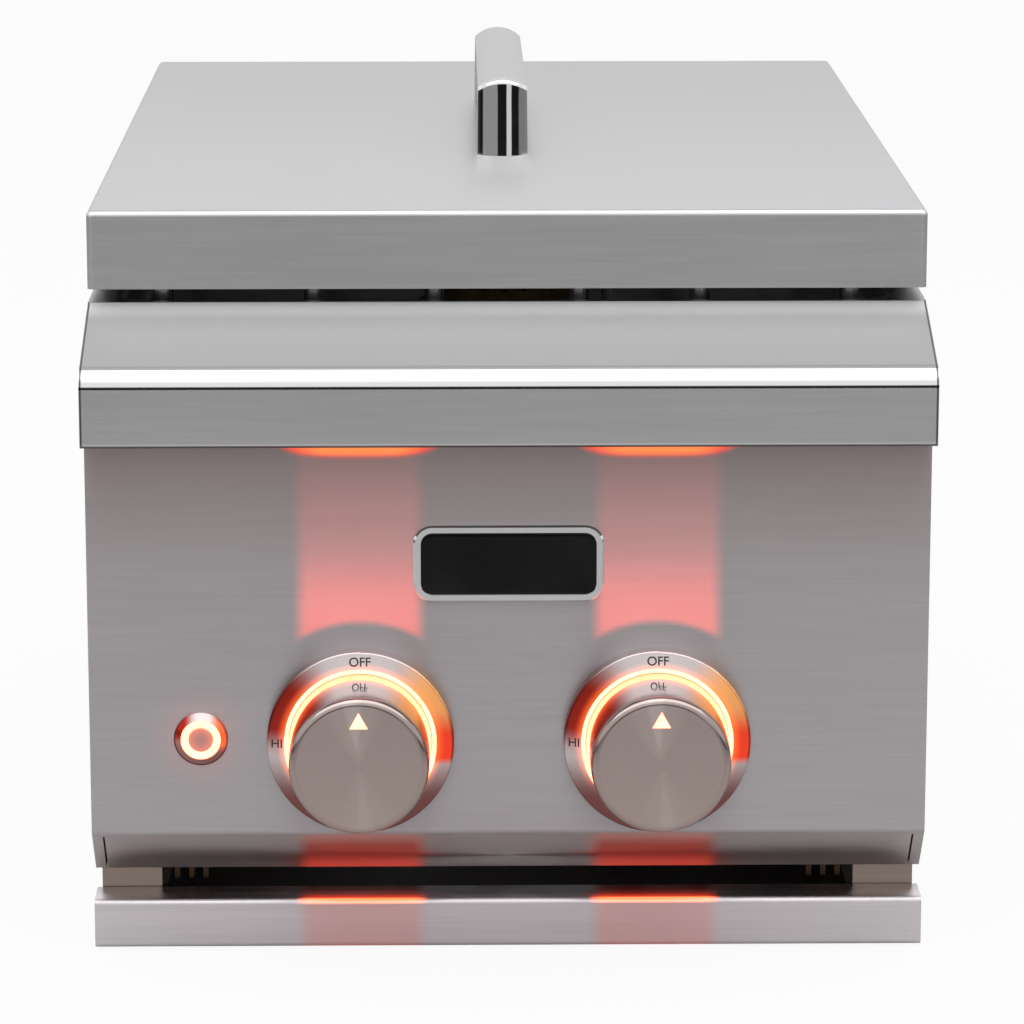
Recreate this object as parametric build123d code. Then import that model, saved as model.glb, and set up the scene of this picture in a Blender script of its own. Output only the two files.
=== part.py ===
from build123d import *
import os
from math import atan2, cos, sin, degrees

# A built-in side burner: two burners, one behind the other, under a lift-off lid.
# Millimetres. +Z is up, the controls face -Y and +X is the user's right.
# Depths are written from the front of the trim and grow towards the back. at() turns them into Y,
# so that the origin lies on the floor under the middle of the object.

# Sheet metal and clearances
width = 344.0            # lid, counter flange, trim, control panel and rail
flange_overhang = 7.0    # counter flange beyond the casing, at the sides and the back
sheet = 1.2
bend = 2.0               # outside radius of a fold
gap = 0.3                # between pieces that pass each other
slip = 0.1               # round a piece in its hole
overcut = 1.0            # cutters run this far past a face
near = 1.0               # margin when edges are picked by their place
spare = 1.0              # room left beyond the end of a stroke

# Heights above the floor
deck_height = 268.6      # top of the counter flange
trim_height = 49.6       # trim, from its lower edge to the counter flange
trim_rise = 19.8         # climb of the trim's slope
panel_foot = 52.5        # lower fold of the control panel
chamfer_drop = 20.8      # chamfer below that fold
control_height = 93.0    # axes of the knobs and the switch
badge_height = 166.7
header_height = 199.0    # lower edge of the header between the posts
rail_foot = 1.0
rail_height = 20.5

# Depths behind the front of the trim
panel_setback = 22.0
chamfer_depth = 20.0
rail_setback = 29.0
rail_return = 12.0       # lower fold of the rail
post_setback = 49.0
lid_setback = 55.0
deck_setback = 57.0
deck_length = 503.0
nose_radius = 8.0        # rounded front edge of the trim

# Casing
post_inset = 2.0         # posts within the width
post_width = 25.0
post_return = 20.0
header_return = 12.0
foot_flange = 18.0       # fold that the casing stands on
vent_width = 6.0
vent_height = 40.0
vent_pitch = 18.0
vent_foot = 150.0        # lower end of the vent slots
side_vents = 9
rear_vents = 11
baffle_setback = 56.0
baffle_foot = 33.0
baffle_height = 20.0
tongue_foot = 23.0       # tongues of the baffle, in the tray's opening
tongue_width = 2.2
tongue_pitch = 6.0
tongues = 3              # at each end
seam_width = 0.8         # slit beside each end tab of the chamfer
end_tab = 4.7

# Burner well
well_depth = 26.3
well_border = 14.0       # flat flange beside the well
well_front_border = 7.0
well_corner = 14.0
well_floor_radius = 8.0
well_lip = 3.0           # rolled edge of the well

# Lid and handle
lid_length = 500.0
lid_height = 32.3
lid_clearance = 5.8      # counter flange to skirt
lid_edge = 2.5
lid_hem = 10.0
pad_radius = 4.0
pad_setback = 70.0       # pads from the ends of the lid
handle_setback = 155.6   # behind the front of the lid
handle_length = 203.4
handle_width = 22.2
handle_draft = 0.6       # degrees
handle_height = 34.0
handle_arch = 4.5        # crown above its shoulders
handle_thickness = 12.0
handle_edge = 2.2
handle_inner_radius = 5.0
handle_screw_radius = 3.0
handle_screw_depth = 16.0
handle_screw_head = 6.0
handle_screw_head_height = 3.0

# Knobs, bezels and light rings, reaches counted out from the panel
knob_spacing = 121.6
knob_face_radius = 28.25
knob_base_radius = 29.1
knob_base_reach = 9.0
knob_reach = 45.0
knob_wall = 1.6
knob_edge = 3.0
pointer_width = 7.2
pointer_height = 6.5
pointer_offset = 16.0    # base of the pointer above the knob's axis
pointer_proud = 0.2
bezel_radius = 38.35
bezel_height = 9.5
bezel_wall = 1.6
bezel_edge = 0.8         # rounding of its outer edge
dial_drop = 1.6          # outer edge of the conical dial below its inner edge
light_ring_width = 1.5
light_ring_play = 0.5    # knob inside its ring
board_thickness = 1.6
board_bore = 22.0
hub_radius = 8.5
hub_reach = 14.0
hub_disc = 2.5
hub_rib = 2.0
hub_rib_depth = 11.0

# Gas valves
stem_radius = 4.0
stem_flat = 2.6          # flat of the stem from its axis
stem_reach = 38.0
stem_tail = 38.0
stem_hole_play = 1.5
shoulder_radius = 6.2
collar_radius = 7.0
collar_length = 4.0
shoulder_length = 1.2
push_travel = 3.0
valve_flange = 32.0
valve_flange_thickness = 4.0
valve_flange_corner = 5.3
valve_radius = 11.0
valve_length = 48.8
chamber_wall = 7.8       # behind the panel, in front of the collar
nipple_radius = 6.0
injector_radius = 5.0
injector_length = 14.0
injector_tip = 2.5
injector_taper = 5.6

# Manifold and supply
manifold_radius = 10.65
manifold_wall = 2.65
manifold_setback = 63.0
manifold_drop = 27.0     # below the controls
plug_clearance = 5.8     # plug heads to the side walls
plug_depth = 8.0
plug_head = 22.0         # across flats
plug_head_thickness = 6.0
bracket_thickness = 1.5
bracket_setback = 3.0    # from the posts' inner edges
bracket_height = 24.0
bracket_length = 26.0
supply_inset = 40.0      # gas inlet from the right side of the casing
supply_radius = 7.5
supply_wall = 1.5
supply_seat = 6.0
boss_radius = 10.5
boss_length = 19.0
inlet_radius = 7.94
inlet_pin = 16.0
inlet_chamfer = 1.0
inlet_bore = 5.0
inlet_flange_radius = 13.0
inlet_flange = 8.8
inlet_neck_radius = 9.4
inlet_nut_thickness = 5.0
gland_inset = 40.0       # power gland from the left side of the casing
gland_radius = 6.0
gland_flange = 9.0
gland_bore = 3.2
gland_thickness = 2.5

# Burners and grates
tube_radius = 11.5
tube_wall = 1.5
tube_bend = 25.0
tube_first_run = 58.0    # front tube, straight before its turn
tube_side_run = 60.0     # rear tube, in depth, from its turn to the riser
bell_radius = 15.0
bell_length = 22.0
bell_cone = 12.0
air_window = 8.0
tube_entry = 6.0         # tube inside the burner head
head_radius = 33.0
head_flange = 38.0
head_flange_thickness = 4.0
head_height = 22.0
head_wall = 4.0
port_width = 2.2
port_height = 8.0
ports = 24
cap_overhang = 2.0
cap_height = 6.0
cap_spigot = 2.0
igniter_offset = 46.0
igniter_radius = 3.2
igniter_flange = 5.0
igniter_flange_thickness = 2.0
igniter_tail = 14.0
igniter_height = 17.0
spark_radius = 0.8
spark_length = 8.0
grate_rod = 4.0
grate_tie = 3.0
grate_lift = 21.7        # top of the grate above the counter flange
grate_bend = 10.0
grate_inner_bars = (30.0, 80.0)
grate_margin = 16.0      # outer bars from the sides of the well
grate_tie_offset = 70.0

# Switch
switch_inset = 45.6      # switch from the left end of the panel
switch_flange = 11.15
switch_flange_height = 2.4
switch_barrel = 9.4
switch_length = 30.0
switch_ring_outer = 8.1
switch_ring_inner = 5.4
switch_pocket = 6.0
switch_cap_radius = 5.1
switch_cap_height = 2.6
switch_cap_depth = 3.5
switch_cap_edge = 0.5
switch_plunger = 3.0
switch_plunger_tail = 16.0
switch_travel = 1.5
switch_nut = 24.0        # across flats
switch_nut_thickness = 4.0

# Badge plate
badge_width = 78.0
badge_tall = 32.0
badge_corner = 8.0
badge_thickness = 2.4
badge_rim = 3.0
badge_recess = 0.8

# Drip tray
tray_play = 1.5          # between the tray and the posts
tray_lip = 7.5
tray_floor = 4.0
tray_depth = 13.0
tray_length = 490.0
tray_corner = 8.0
runner_web = 20.0
runner_setback = 72.0
runner_shelf_cover = 5.0  # shelf under the tray's lip

# Places that follow from the sizes above
half_width = width / 2
casing_half = half_width - flange_overhang
casing_inside = casing_half - sheet
deck_under = deck_height - sheet
trim_foot = deck_height - trim_height
nose_height = deck_height - trim_rise
slope = atan2(trim_rise, deck_setback)
deck_front = deck_setback + sheet * sin(slope) + slip
deck_rear = deck_setback + deck_length
rear_face = deck_rear - flange_overhang
rear_inside = rear_face - sheet
post_back = post_setback + sheet
post_outer = half_width - post_inset
post_inner = post_outer - post_width
post_top = nose_height + trim_rise * post_setback / deck_setback - sheet / cos(slope) - slip
chamfer_foot = panel_foot - chamfer_drop
panel_back = post_setback - gap
well_floor = deck_height - well_depth
well_half = half_width - well_border
well_front = deck_front + well_front_border
well_rear = deck_rear - well_border
well_middle = (well_front + well_rear) / 2
burner_depths = {
    "front": (well_front + well_middle) / 2,
    "rear": (well_middle + well_rear) / 2,
}
lid_foot = deck_height + lid_clearance
lid_top = lid_foot + lid_height
knob_x = {"left": -knob_spacing / 2, "right": knob_spacing / 2}
ring_inner = knob_base_radius + light_ring_play
ring_outer = ring_inner + light_ring_width
manifold_height = control_height - manifold_drop
manifold_length = 2 * (casing_inside - plug_clearance - plug_head_thickness)
supply_x = casing_half - supply_inset
gland_x = gland_inset - casing_half
switch_x = switch_inset - half_width
grate_bars = (*grate_inner_bars, well_half - grate_margin)
inlet_end = rear_face + inlet_nut_thickness + inlet_pin + inlet_chamfer
valve_tail = sheet + valve_length
injector_end = panel_setback + valve_tail + injector_length
tray_half = post_inner - tray_play - tray_lip
tray_top = tray_floor + tray_depth
rail_top = rail_foot + rail_height
middle = (panel_setback - knob_reach - pointer_proud + inlet_end) / 2


def at(depth):
    """Y of a depth behind the front of the trim."""
    return depth - middle


def block(x, depth, z):
    """A box between the low and high values of X, depth and Z."""
    sizes = [high - low for low, high in (x, depth, z)]
    centre = [(low + high) / 2 for low, high in (x, depth, z)]
    return Pos(centre[0], at(centre[1]), centre[2]) * Box(*sizes)


def along_x(outline, low, high):
    """A closed (depth, Z) outline carried along X."""
    return Pos(low, at(0), 0) * extrude(Plane.YZ * make_face(outline), high - low)


def along_depth(outline, low, high):
    """A closed (X, Z) outline carried back from one depth to another."""
    return Pos(0, at(high), 0) * extrude(Plane.XZ * make_face(outline), high - low)


def rod(x, z, radius, low, high):
    """A round bar that runs from front to back."""
    return Pos(x, at((low + high) / 2), z) * Rot(90, 0, 0) * Cylinder(radius, high - low)


def cross_rod(depth, z, radius, low, high):
    """A round bar that runs from side to side."""
    return Pos((low + high) / 2, at(depth), z) * Rot(0, 90, 0) * Cylinder(radius, high - low)


def upright(x, depth, radius, low, high):
    """A round bar that stands up."""
    return Pos(x, at(depth), (low + high) / 2) * Cylinder(radius, high - low)


def peg(radius, low, high):
    """A round bar on Z between two heights."""
    return Pos(0, 0, low) * extrude(Circle(radius), high - low)


def hexagon_bar(flats, length):
    """A hexagon bar on Z from the origin up, its size across flats."""
    return extrude(RegularPolygon(flats / 2, 6, major_radius=False), length)


def turned(points, radii=0):
    """A solid turned about Z from (radius, height) corners."""
    return revolve(Plane.XZ * make_face(FilletPolyline(*points, radius=radii, close=True)), Axis.Z)


def folded(points, radii):
    """Outline of a sheet whose outer side follows (depth, Z) points with the bulk on its right."""
    return offset(FilletPolyline(*points, radius=radii), amount=sheet, side=Side.RIGHT, closed=True)


def on_panel(x, z=control_height):
    """Frame of a piece on the control panel: X right, Y up, Z out towards the user."""
    return Plane(origin=(x, at(panel_setback), z), x_dir=(1, 0, 0), z_dir=(0, -1, 0)).location


def facing_back(x, z):
    """Frame of a piece on the rear panel: Z points out at the back."""
    return Plane(origin=(x, at(rear_face), z), x_dir=(-1, 0, 0), z_dir=(0, 1, 0)).location


def slots(count, pitch, wide, tall):
    """A row of upright slots with round ends, centred on the origin."""
    one = SlotOverall(tall, wide, rotation=90)
    return Sketch() + [place * one for place in GridLocations(pitch, 0, count, 1)]


def mirrored(right_piece):
    """The left-hand copy of a right-hand piece."""
    return mirror(right_piece, about=Plane.YZ)


def side_panel():
    """Right wall of the casing, with the foot that it stands on and its vents."""
    outline = FilletPolyline(
        (casing_half, deck_under),
        (casing_half, 0),
        (casing_half - foot_flange, 0),
        (casing_half - foot_flange, sheet),
        (casing_inside, sheet),
        (casing_inside, deck_under),
        radius=[0, bend, 0, 0, bend - sheet, 0],
        close=True,
    )
    wall = along_depth(outline, post_back, rear_inside)
    wall -= block((0, half_width), (post_back, deck_front), (post_top, deck_height))
    vent_place = Plane(
        origin=(casing_half - 2 * sheet, at((well_middle + rear_inside) / 2), vent_foot + vent_height / 2),
        x_dir=(0, 1, 0),
        z_dir=(1, 0, 0),
    )
    return wall - extrude(vent_place * slots(side_vents, vent_pitch, vent_width, vent_height), 3 * sheet)


def rear_panel():
    """Back of the casing, with vents and the holes for the gas inlet and the power lead."""
    plate = block((-casing_half, casing_half), (rear_inside, rear_face), (0, deck_under))
    vents = facing_back(0, vent_foot + vent_height / 2) * extrude(
        slots(rear_vents, vent_pitch, vent_width, vent_height), 2 * sheet, both=True
    )
    through = (rear_inside - overcut, rear_face + overcut)
    inlet_hole = rod(supply_x, manifold_height, inlet_neck_radius + slip, *through)
    gland_hole = rod(gland_x, manifold_height, gland_radius + slip, *through)
    return plate - vents - inlet_hole - gland_hole


def front_post():
    """Right front post: the face beside the tray's opening and a return along the side wall."""
    face = block((post_inner, post_outer), (post_setback, post_back), (0, post_top))
    fold = block(
        (casing_inside - sheet, casing_inside), (post_back, post_back + post_return), (sheet + bend, post_top)
    )
    return face + fold


def front_header():
    """Cross member between the tops of the posts."""
    points = [
        (post_back + header_return, header_height),
        (post_setback, header_height),
        (post_setback, post_top),
    ]
    return along_x(folded(points, [bend]), -post_inner, post_inner)


def air_baffle():
    """Plate between the posts' returns, with tongues down into the ends of the tray's opening."""
    half = casing_inside - sheet
    depth = (baffle_setback, baffle_setback + sheet)
    top = baffle_foot + baffle_height
    plate = block((-half, half), depth, (baffle_foot, top))
    for count in range(tongues):
        middle_x = post_inner - (count + 1) * tongue_pitch
        for x in (-middle_x, middle_x):
            plate += block((x - tongue_width / 2, x + tongue_width / 2), depth, (tongue_foot, top))
    return plate


def deck_pan():
    """Counter flange, hemmed where it lies on the counter, and burner well, pressed from one sheet."""
    long = well_rear - well_front
    centre = Pos(0, at(well_middle), 0)
    flange = block((-half_width, half_width), (deck_front, deck_rear), (deck_under, deck_height))

    def tub(grow, floor):
        plan = RectangleRounded(2 * (well_half + grow), long + 2 * grow, well_corner + grow)
        body = centre * Pos(0, 0, floor) * extrude(plan, deck_under - floor)
        low_edges = body.edges().group_by(Axis.Z)[0]
        return fillet(low_edges, well_floor_radius + grow)

    mouth = centre * Pos(0, 0, deck_under) * extrude(
        RectangleRounded(2 * well_half, long, well_corner), sheet
    )
    hem_height = (deck_under - sheet, deck_under)
    hem = block((-half_width, half_width), (rear_face + gap, deck_rear), hem_height)
    for x in ((-half_width, -casing_half - gap), (casing_half + gap, half_width)):
        hem += block(x, (deck_front, deck_rear), hem_height)
    pan = flange + hem + tub(sheet, well_floor - sheet) - tub(0, well_floor) - mouth

    def edges_round_well(height):
        found = pan.edges().filter_by_position(Axis.Z, height, height)
        wide = well_half + sheet + near
        low = at(well_front) - sheet - near
        high = at(well_rear) + sheet + near
        return [e for e in found if abs(e.center().X) < wide and low < e.center().Y < high]

    pan = fillet(edges_round_well(deck_height), well_lip)
    pan = fillet(edges_round_well(deck_under), well_lip - sheet)
    for depth in burner_depths.values():
        through = (well_floor - sheet - overcut, well_floor + overcut)
        pan -= upright(0, depth, tube_radius + gap, *through)
        pan -= upright(igniter_offset, depth, igniter_radius + slip, *through)
    return pan


def front_trim():
    """Sloped top trim with a rounded nose, folded under to the panel and closed at its ends."""
    nose = [(0, trim_foot), (0, nose_height), (deck_setback, deck_height)]
    skin = along_x(
        folded([(panel_setback + sheet, trim_foot), *nose], [bend, nose_radius]), -half_width, half_width
    )
    slope_end = post_top + slip + sheet / cos(slope) - gap * trim_rise / deck_setback
    end = FilletPolyline(
        (0, trim_foot), (0, nose_height), (panel_back, slope_end), (panel_back, trim_foot),
        radius=[bend, nose_radius, 0, 0], close=True,
    )
    for low in (-half_width, half_width - sheet):
        skin += along_x(end, low, low + sheet)
    return skin


def control_panel():
    """Front panel with a chamfer below, end walls and narrow seamed tabs beside the chamfer."""
    front = [(panel_setback, trim_foot), (panel_setback, panel_foot)]
    lower = [(panel_setback + chamfer_depth, chamfer_foot), (panel_back, chamfer_foot)]
    outline = folded([*reversed(lower), *reversed(front)], [bend, bend + sheet])
    skin = along_x(outline, -half_width, half_width)
    end = FilletPolyline(
        *front, *lower, (panel_back, trim_foot), radius=[0, bend + sheet, bend, 0, 0], close=True
    )
    for x in (-half_width + end_tab, half_width - end_tab):
        skin -= block((x - seam_width / 2, x + seam_width / 2), (0, panel_back - bend),
                      (chamfer_foot - sheet, panel_foot - bend))
    for low in (-half_width, half_width - sheet):
        skin += along_x(end, low, low + sheet)
    for x in knob_x.values():
        skin -= on_panel(x) * Cylinder(stem_radius + stem_hole_play, 4 * sheet)
    return skin - on_panel(switch_x) * Cylinder(switch_barrel + slip, 4 * sheet)


def badge_plate():
    """Plain raised plate with a rim, in the badge's place."""
    plate = extrude(RectangleRounded(badge_width, badge_tall, badge_corner), badge_thickness)
    plate = chamfer(plate.faces().sort_by(Axis.Z)[-1].edges(), badge_recess)
    field = RectangleRounded(
        badge_width - 2 * badge_rim, badge_tall - 2 * badge_rim, badge_corner - badge_rim
    )
    recess = Pos(0, 0, badge_thickness - badge_recess) * extrude(field, badge_recess)
    return on_panel(0, badge_height) * (plate - recess)


def bezel(x):
    """Raised ring round a knob, with a conical dial that falls away from the light ring."""
    lip = ring_outer + 2 * slip
    inner = bezel_radius - bezel_wall
    shoulder = bezel_height - dial_drop
    under = shoulder - bezel_wall
    points = [
        (inner, 0), (bezel_radius, 0), (bezel_radius, shoulder), (lip, bezel_height), (lip, under),
        (inner, under),
    ]
    return on_panel(x) * turned(points, [0, 0, bezel_edge, 0, 0, 0])


def light_ring(x):
    """Translucent light guide between a knob and its dial."""
    low = board_thickness
    top = bezel_height
    points = [(ring_inner, low), (ring_outer, low), (ring_outer, top), (ring_inner, top)]
    edge = light_ring_width / 3
    return on_panel(x) * turned(points, [0, 0, edge, edge])


def light_board(x):
    """Ring of circuit board that lights the guide."""
    outer = bezel_radius - bezel_wall - gap
    points = [(board_bore, 0), (outer, 0), (outer, board_thickness), (board_bore, board_thickness)]
    return on_panel(x) * turned(points)


def pointer_outline(grow):
    """Triangle of the lit pointer, its apex away from the knob's axis."""
    base = pointer_offset - grow
    apex = pointer_offset + pointer_height + grow
    half = pointer_width / 2 + grow
    return make_face(Polyline((-half, base), (half, base), (0, apex), close=True))


def knob_shell(x):
    """Drawn metal cup of a knob, with a window for the pointer."""
    front_inside = knob_reach - knob_wall
    points = [
        (0, knob_reach), (knob_face_radius, knob_reach), (knob_base_radius, knob_base_reach),
        (knob_base_radius - knob_wall, knob_base_reach), (knob_face_radius - knob_wall, front_inside),
        (0, front_inside),
    ]
    cup = turned(points, [0, knob_edge, 0, 0, knob_edge - knob_wall, 0])
    window = Pos(0, 0, front_inside - overcut) * extrude(
        pointer_outline(slip / 2), knob_wall + 2 * overcut
    )
    return on_panel(x) * (cup - window)


def pointer_lens(x):
    """Clear window over the pointer's light."""
    lens = extrude(pointer_outline(0), knob_wall + pointer_proud)
    return on_panel(x) * Pos(0, 0, knob_reach - knob_wall) * lens


def stem_section(grow):
    """Round section of the stem with one flat."""
    return Circle(stem_radius + grow) - Pos(0, stem_flat + grow + stem_radius) * Rectangle(
        4 * stem_radius, 2 * stem_radius
    )


def knob_hub(x):
    """Moulded core of a knob: a disc, four ribs and a boss with a flatted bore."""
    back = knob_reach - knob_wall
    disc_radius = knob_face_radius - knob_edge
    hub = peg(hub_radius, hub_reach, back) + peg(disc_radius, back - hub_disc, back)
    for angle in (0, 90):
        hub += Rot(0, 0, angle + 45) * Pos(0, 0, back - hub_disc - hub_rib_depth / 2) * Box(
            2 * disc_radius - knob_wall, hub_rib, hub_rib_depth
        )
    bore_start = hub_reach - overcut
    bore = Pos(0, 0, bore_start) * extrude(stem_section(slip), stem_reach + gap - bore_start)
    return on_panel(x) * (hub - bore)


def valve_stem(x):
    """Stem that the knob turns: flatted in the hub, round in the valve, with a shoulder on the collar."""
    shaft = Pos(0, 0, hub_reach) * extrude(stem_section(0), stem_reach - hub_reach)
    shaft += peg(stem_radius, -stem_tail, hub_reach)
    shoulder_front = -(sheet + chamber_wall + gap)
    shaft += peg(shoulder_radius, shoulder_front - shoulder_length, shoulder_front)
    return on_panel(x) * shaft


def thrust_collar(x):
    """Collar that carries the stem's shoulder when the knob is pushed in."""
    top = -(sheet + chamber_wall + 2 * gap + shoulder_length)
    ring = Circle(collar_radius) - Circle(stem_radius + slip)
    return on_panel(x) * Pos(0, 0, top - collar_length) * extrude(ring, collar_length)


def valve_body(x):
    """Cast valve: flange on the panel, barrel with the collar's chamber, nipple down to the manifold."""
    front = -sheet
    shoulder = front - valve_flange_thickness
    plan = RectangleRounded(valve_flange, valve_flange, valve_flange_corner)
    body = Pos(0, 0, shoulder) * extrude(plan, valve_flange_thickness)
    body += peg(valve_radius, -valve_tail, shoulder)
    nipple_end = manifold_drop - manifold_radius + manifold_wall
    body += Pos(0, -nipple_end / 2, panel_setback - manifold_setback) * Rot(90, 0, 0) * Cylinder(
        nipple_radius, nipple_end
    )
    chamber_depth = collar_length + shoulder_length + push_travel + 6 * gap
    chamber_front = front - chamber_wall
    body -= peg(stem_radius + slip, -(stem_tail + push_travel + spare), 0)
    body -= peg(collar_radius + gap, chamber_front - chamber_depth, chamber_front)
    return on_panel(x) * body


def injector(x):
    """Brass jet that blows gas into the burner tube's bell."""
    points = [
        (0, 0), (injector_radius, 0), (injector_radius, injector_length - injector_taper),
        (injector_tip, injector_length), (0, injector_length),
    ]
    return on_panel(x) * Pos(0, 0, -valve_tail) * Rot(180, 0, 0) * turned(points)


def gas_manifold():
    """Pipe that feeds both valves, with a boss for the supply tube."""
    half = manifold_length / 2
    bore = manifold_radius - manifold_wall
    pipe = cross_rod(manifold_setback, manifold_height, manifold_radius, -half, half)
    pipe += rod(supply_x, manifold_height, boss_radius, manifold_setback, manifold_setback + boss_length)
    pipe -= cross_rod(manifold_setback, manifold_height, bore, -half, half)
    boss_end = manifold_setback + boss_length
    pipe -= rod(supply_x, manifold_height, supply_radius - supply_wall, manifold_setback, boss_end)
    pipe -= rod(supply_x, manifold_height, supply_radius + slip, boss_end - supply_seat, boss_end + overcut)
    for x in knob_x.values():
        pipe -= upright(x, manifold_setback, nipple_radius + slip, manifold_height, control_height)
    return pipe


def manifold_plugs():
    """Hexagon-headed plugs in both ends of the manifold."""
    plug = peg(manifold_radius - manifold_wall - slip, -plug_depth, 0)
    plug += hexagon_bar(plug_head, plug_head_thickness)
    right = Pos(manifold_length / 2, at(manifold_setback), manifold_height) * Rot(0, 90, 0) * plug
    return Compound([right.solid(), mirrored(right).solid()])


def manifold_brackets():
    """Angle brackets that hang the manifold on the backs of the posts."""
    low = post_inner + bracket_setback
    z = (manifold_height - bracket_height / 2, manifold_height + bracket_height / 2)
    angle = block((low, casing_inside - sheet - gap), (post_back, post_back + bracket_thickness), z)
    angle += block((low, low + bracket_thickness), (post_back, post_back + bracket_length), z)
    through = (low - overcut, low + bracket_thickness + overcut)
    angle -= cross_rod(manifold_setback, manifold_height, manifold_radius + slip, *through)
    return Compound([angle.solid(), mirrored(angle).solid()])


def supply_tube():
    """Straight tube from the rear inlet to the manifold."""
    low = manifold_setback + boss_length - supply_seat
    high = rear_inside - inlet_flange + supply_seat
    outer = rod(supply_x, manifold_height, supply_radius, low, high)
    bore = supply_radius - supply_wall
    return outer - rod(supply_x, manifold_height, bore, low - overcut, high + overcut)


def inlet_fitting():
    """Bulkhead fitting through the rear panel with a male stub for the gas hose."""
    inside = -sheet - inlet_flange
    nut = inlet_nut_thickness
    end = nut + inlet_pin
    tip = end + inlet_chamfer
    points = [
        (0, inside), (inlet_flange_radius, inside), (inlet_flange_radius, -sheet),
        (inlet_neck_radius, -sheet), (inlet_neck_radius, nut), (inlet_radius, nut),
        (inlet_radius, end), (inlet_radius - inlet_chamfer, tip), (0, tip),
    ]
    fitting = turned(points) + hexagon_bar(2 * inlet_flange_radius, nut)
    fitting -= peg(inlet_bore, inside + supply_seat, tip)
    fitting -= peg(supply_radius + slip, inside, inside + supply_seat)
    return facing_back(supply_x, manifold_height) * fitting


def power_gland():
    """Rubber gland for the lights' lead, gripping the rear panel."""
    grip = gland_flange - gland_radius
    points = [
        (gland_bore, -sheet - gland_thickness), (gland_radius + grip / 2, -sheet - gland_thickness),
        (gland_radius + grip / 2, -sheet), (gland_radius, -sheet), (gland_radius, 0), (gland_flange, 0),
        (gland_flange - gland_thickness / 2, gland_thickness), (gland_bore, gland_thickness),
    ]
    return facing_back(gland_x, manifold_height) * turned(points)


def burner_tube(name):
    """Bent venturi from a valve's injector to the underside of a burner head."""
    x = knob_x["left"] if name == "front" else knob_x["right"]
    depth = burner_depths[name]
    mouth = injector_end - injector_length / 4
    turn = mouth + tube_first_run if name == "front" else depth - tube_side_run
    corners = [
        (x, at(mouth + bell_length), control_height),
        (x, at(turn), control_height),
        (0, at(depth), control_height),
        (0, at(depth), well_floor + tube_entry),
    ]
    path = FilletPolyline(*corners, radius=tube_bend)
    start = Plane(path @ 0, z_dir=path % 0)
    ring = Circle(tube_radius) - Circle(tube_radius - tube_wall)
    bell_inside = bell_radius - tube_wall
    straight = bell_length - bell_cone
    points = [
        (bell_inside, 0), (bell_radius, 0), (bell_radius, straight), (tube_radius, bell_length),
        (tube_radius - tube_wall, bell_length), (bell_inside, straight),
    ]
    bell = turned(points)
    window = Box(2 * bell_radius + overcut, air_window, straight / 2)
    for angle in (0, 90):
        bell -= Pos(0, 0, straight / 2) * Rot(0, 0, angle) * window
    return sweep(start * ring, path=path) + Plane((x, at(mouth), control_height), z_dir=(0, 1, 0)) * bell


def burner_head(name):
    """Brass burner: a ported ring on a flange that sits on the floor of the well."""
    top = head_height
    chamber = head_radius - head_wall
    points = [
        (tube_radius + slip, 0), (head_flange, 0), (head_flange, head_flange_thickness),
        (head_radius, head_flange_thickness), (head_radius, top), (chamber, top),
        (chamber, head_flange_thickness), (tube_radius + slip, head_flange_thickness),
    ]
    head = turned(points)
    for place in PolarLocations(head_radius - head_wall / 2, ports):
        head -= place * Pos(0, 0, top - port_height / 2) * Box(3 * head_wall, port_width, port_height)
    return Pos(0, at(burner_depths[name]), well_floor) * head


def burner_cap(name):
    """Domed cap that closes a burner head, located by a spigot."""
    radius = head_radius + cap_overhang
    spigot = head_radius - head_wall - gap
    points = [
        (0, -cap_spigot), (spigot, -cap_spigot), (spigot, 0), (radius, 0), (radius, cap_height / 2),
        (radius - cap_height, cap_height), (0, cap_height),
    ]
    cap = turned(points, [0, 0, 0, 0, cap_height / 4, cap_height, 0])
    return Pos(0, at(burner_depths[name]), well_floor + head_height) * cap


def igniter(name):
    """Ceramic spark plug beside a burner head, its tip bent towards the ports."""
    points = [
        (0, -igniter_tail), (igniter_radius, -igniter_tail), (igniter_radius, 0), (igniter_flange, 0),
        (igniter_flange, igniter_flange_thickness), (igniter_radius, igniter_flange_thickness),
        (igniter_radius, igniter_height), (0, igniter_height),
    ]
    plug = turned(points)
    tip = igniter_height - 2 * spark_radius
    plug += Pos(-(igniter_radius + spark_length) / 2, 0, tip) * Rot(0, 90, 0) * Cylinder(
        spark_radius, igniter_radius + spark_length
    )
    return Pos(igniter_offset, at(burner_depths[name]), well_floor) * plug


def grate(name):
    """Welded rod grate: bent bars that stand on the floor of the well, tied by cross rods."""
    centre = burner_depths[name]
    half = (well_rear - well_front) / 4 - well_floor_radius - grate_rod - gap
    bar_height = deck_height + grate_lift - grate_rod
    tie_height = bar_height - grate_rod - grate_tie / 2
    reach = max(grate_bars)
    frame = None
    for bar in grate_bars:
        for x in (-bar, bar):
            front, back = at(centre - half), at(centre + half)
            path = FilletPolyline(
                (x, front, well_floor), (x, front, bar_height), (x, back, bar_height), (x, back, well_floor),
                radius=grate_bend,
            )
            staple = sweep(Plane(path @ 0, z_dir=path % 0) * Circle(grate_rod), path=path)
            frame = staple if frame is None else frame + staple
    for depth in (centre - grate_tie_offset, centre + grate_tie_offset):
        frame += cross_rod(depth, tie_height, grate_tie, -reach, reach)
    return frame


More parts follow.
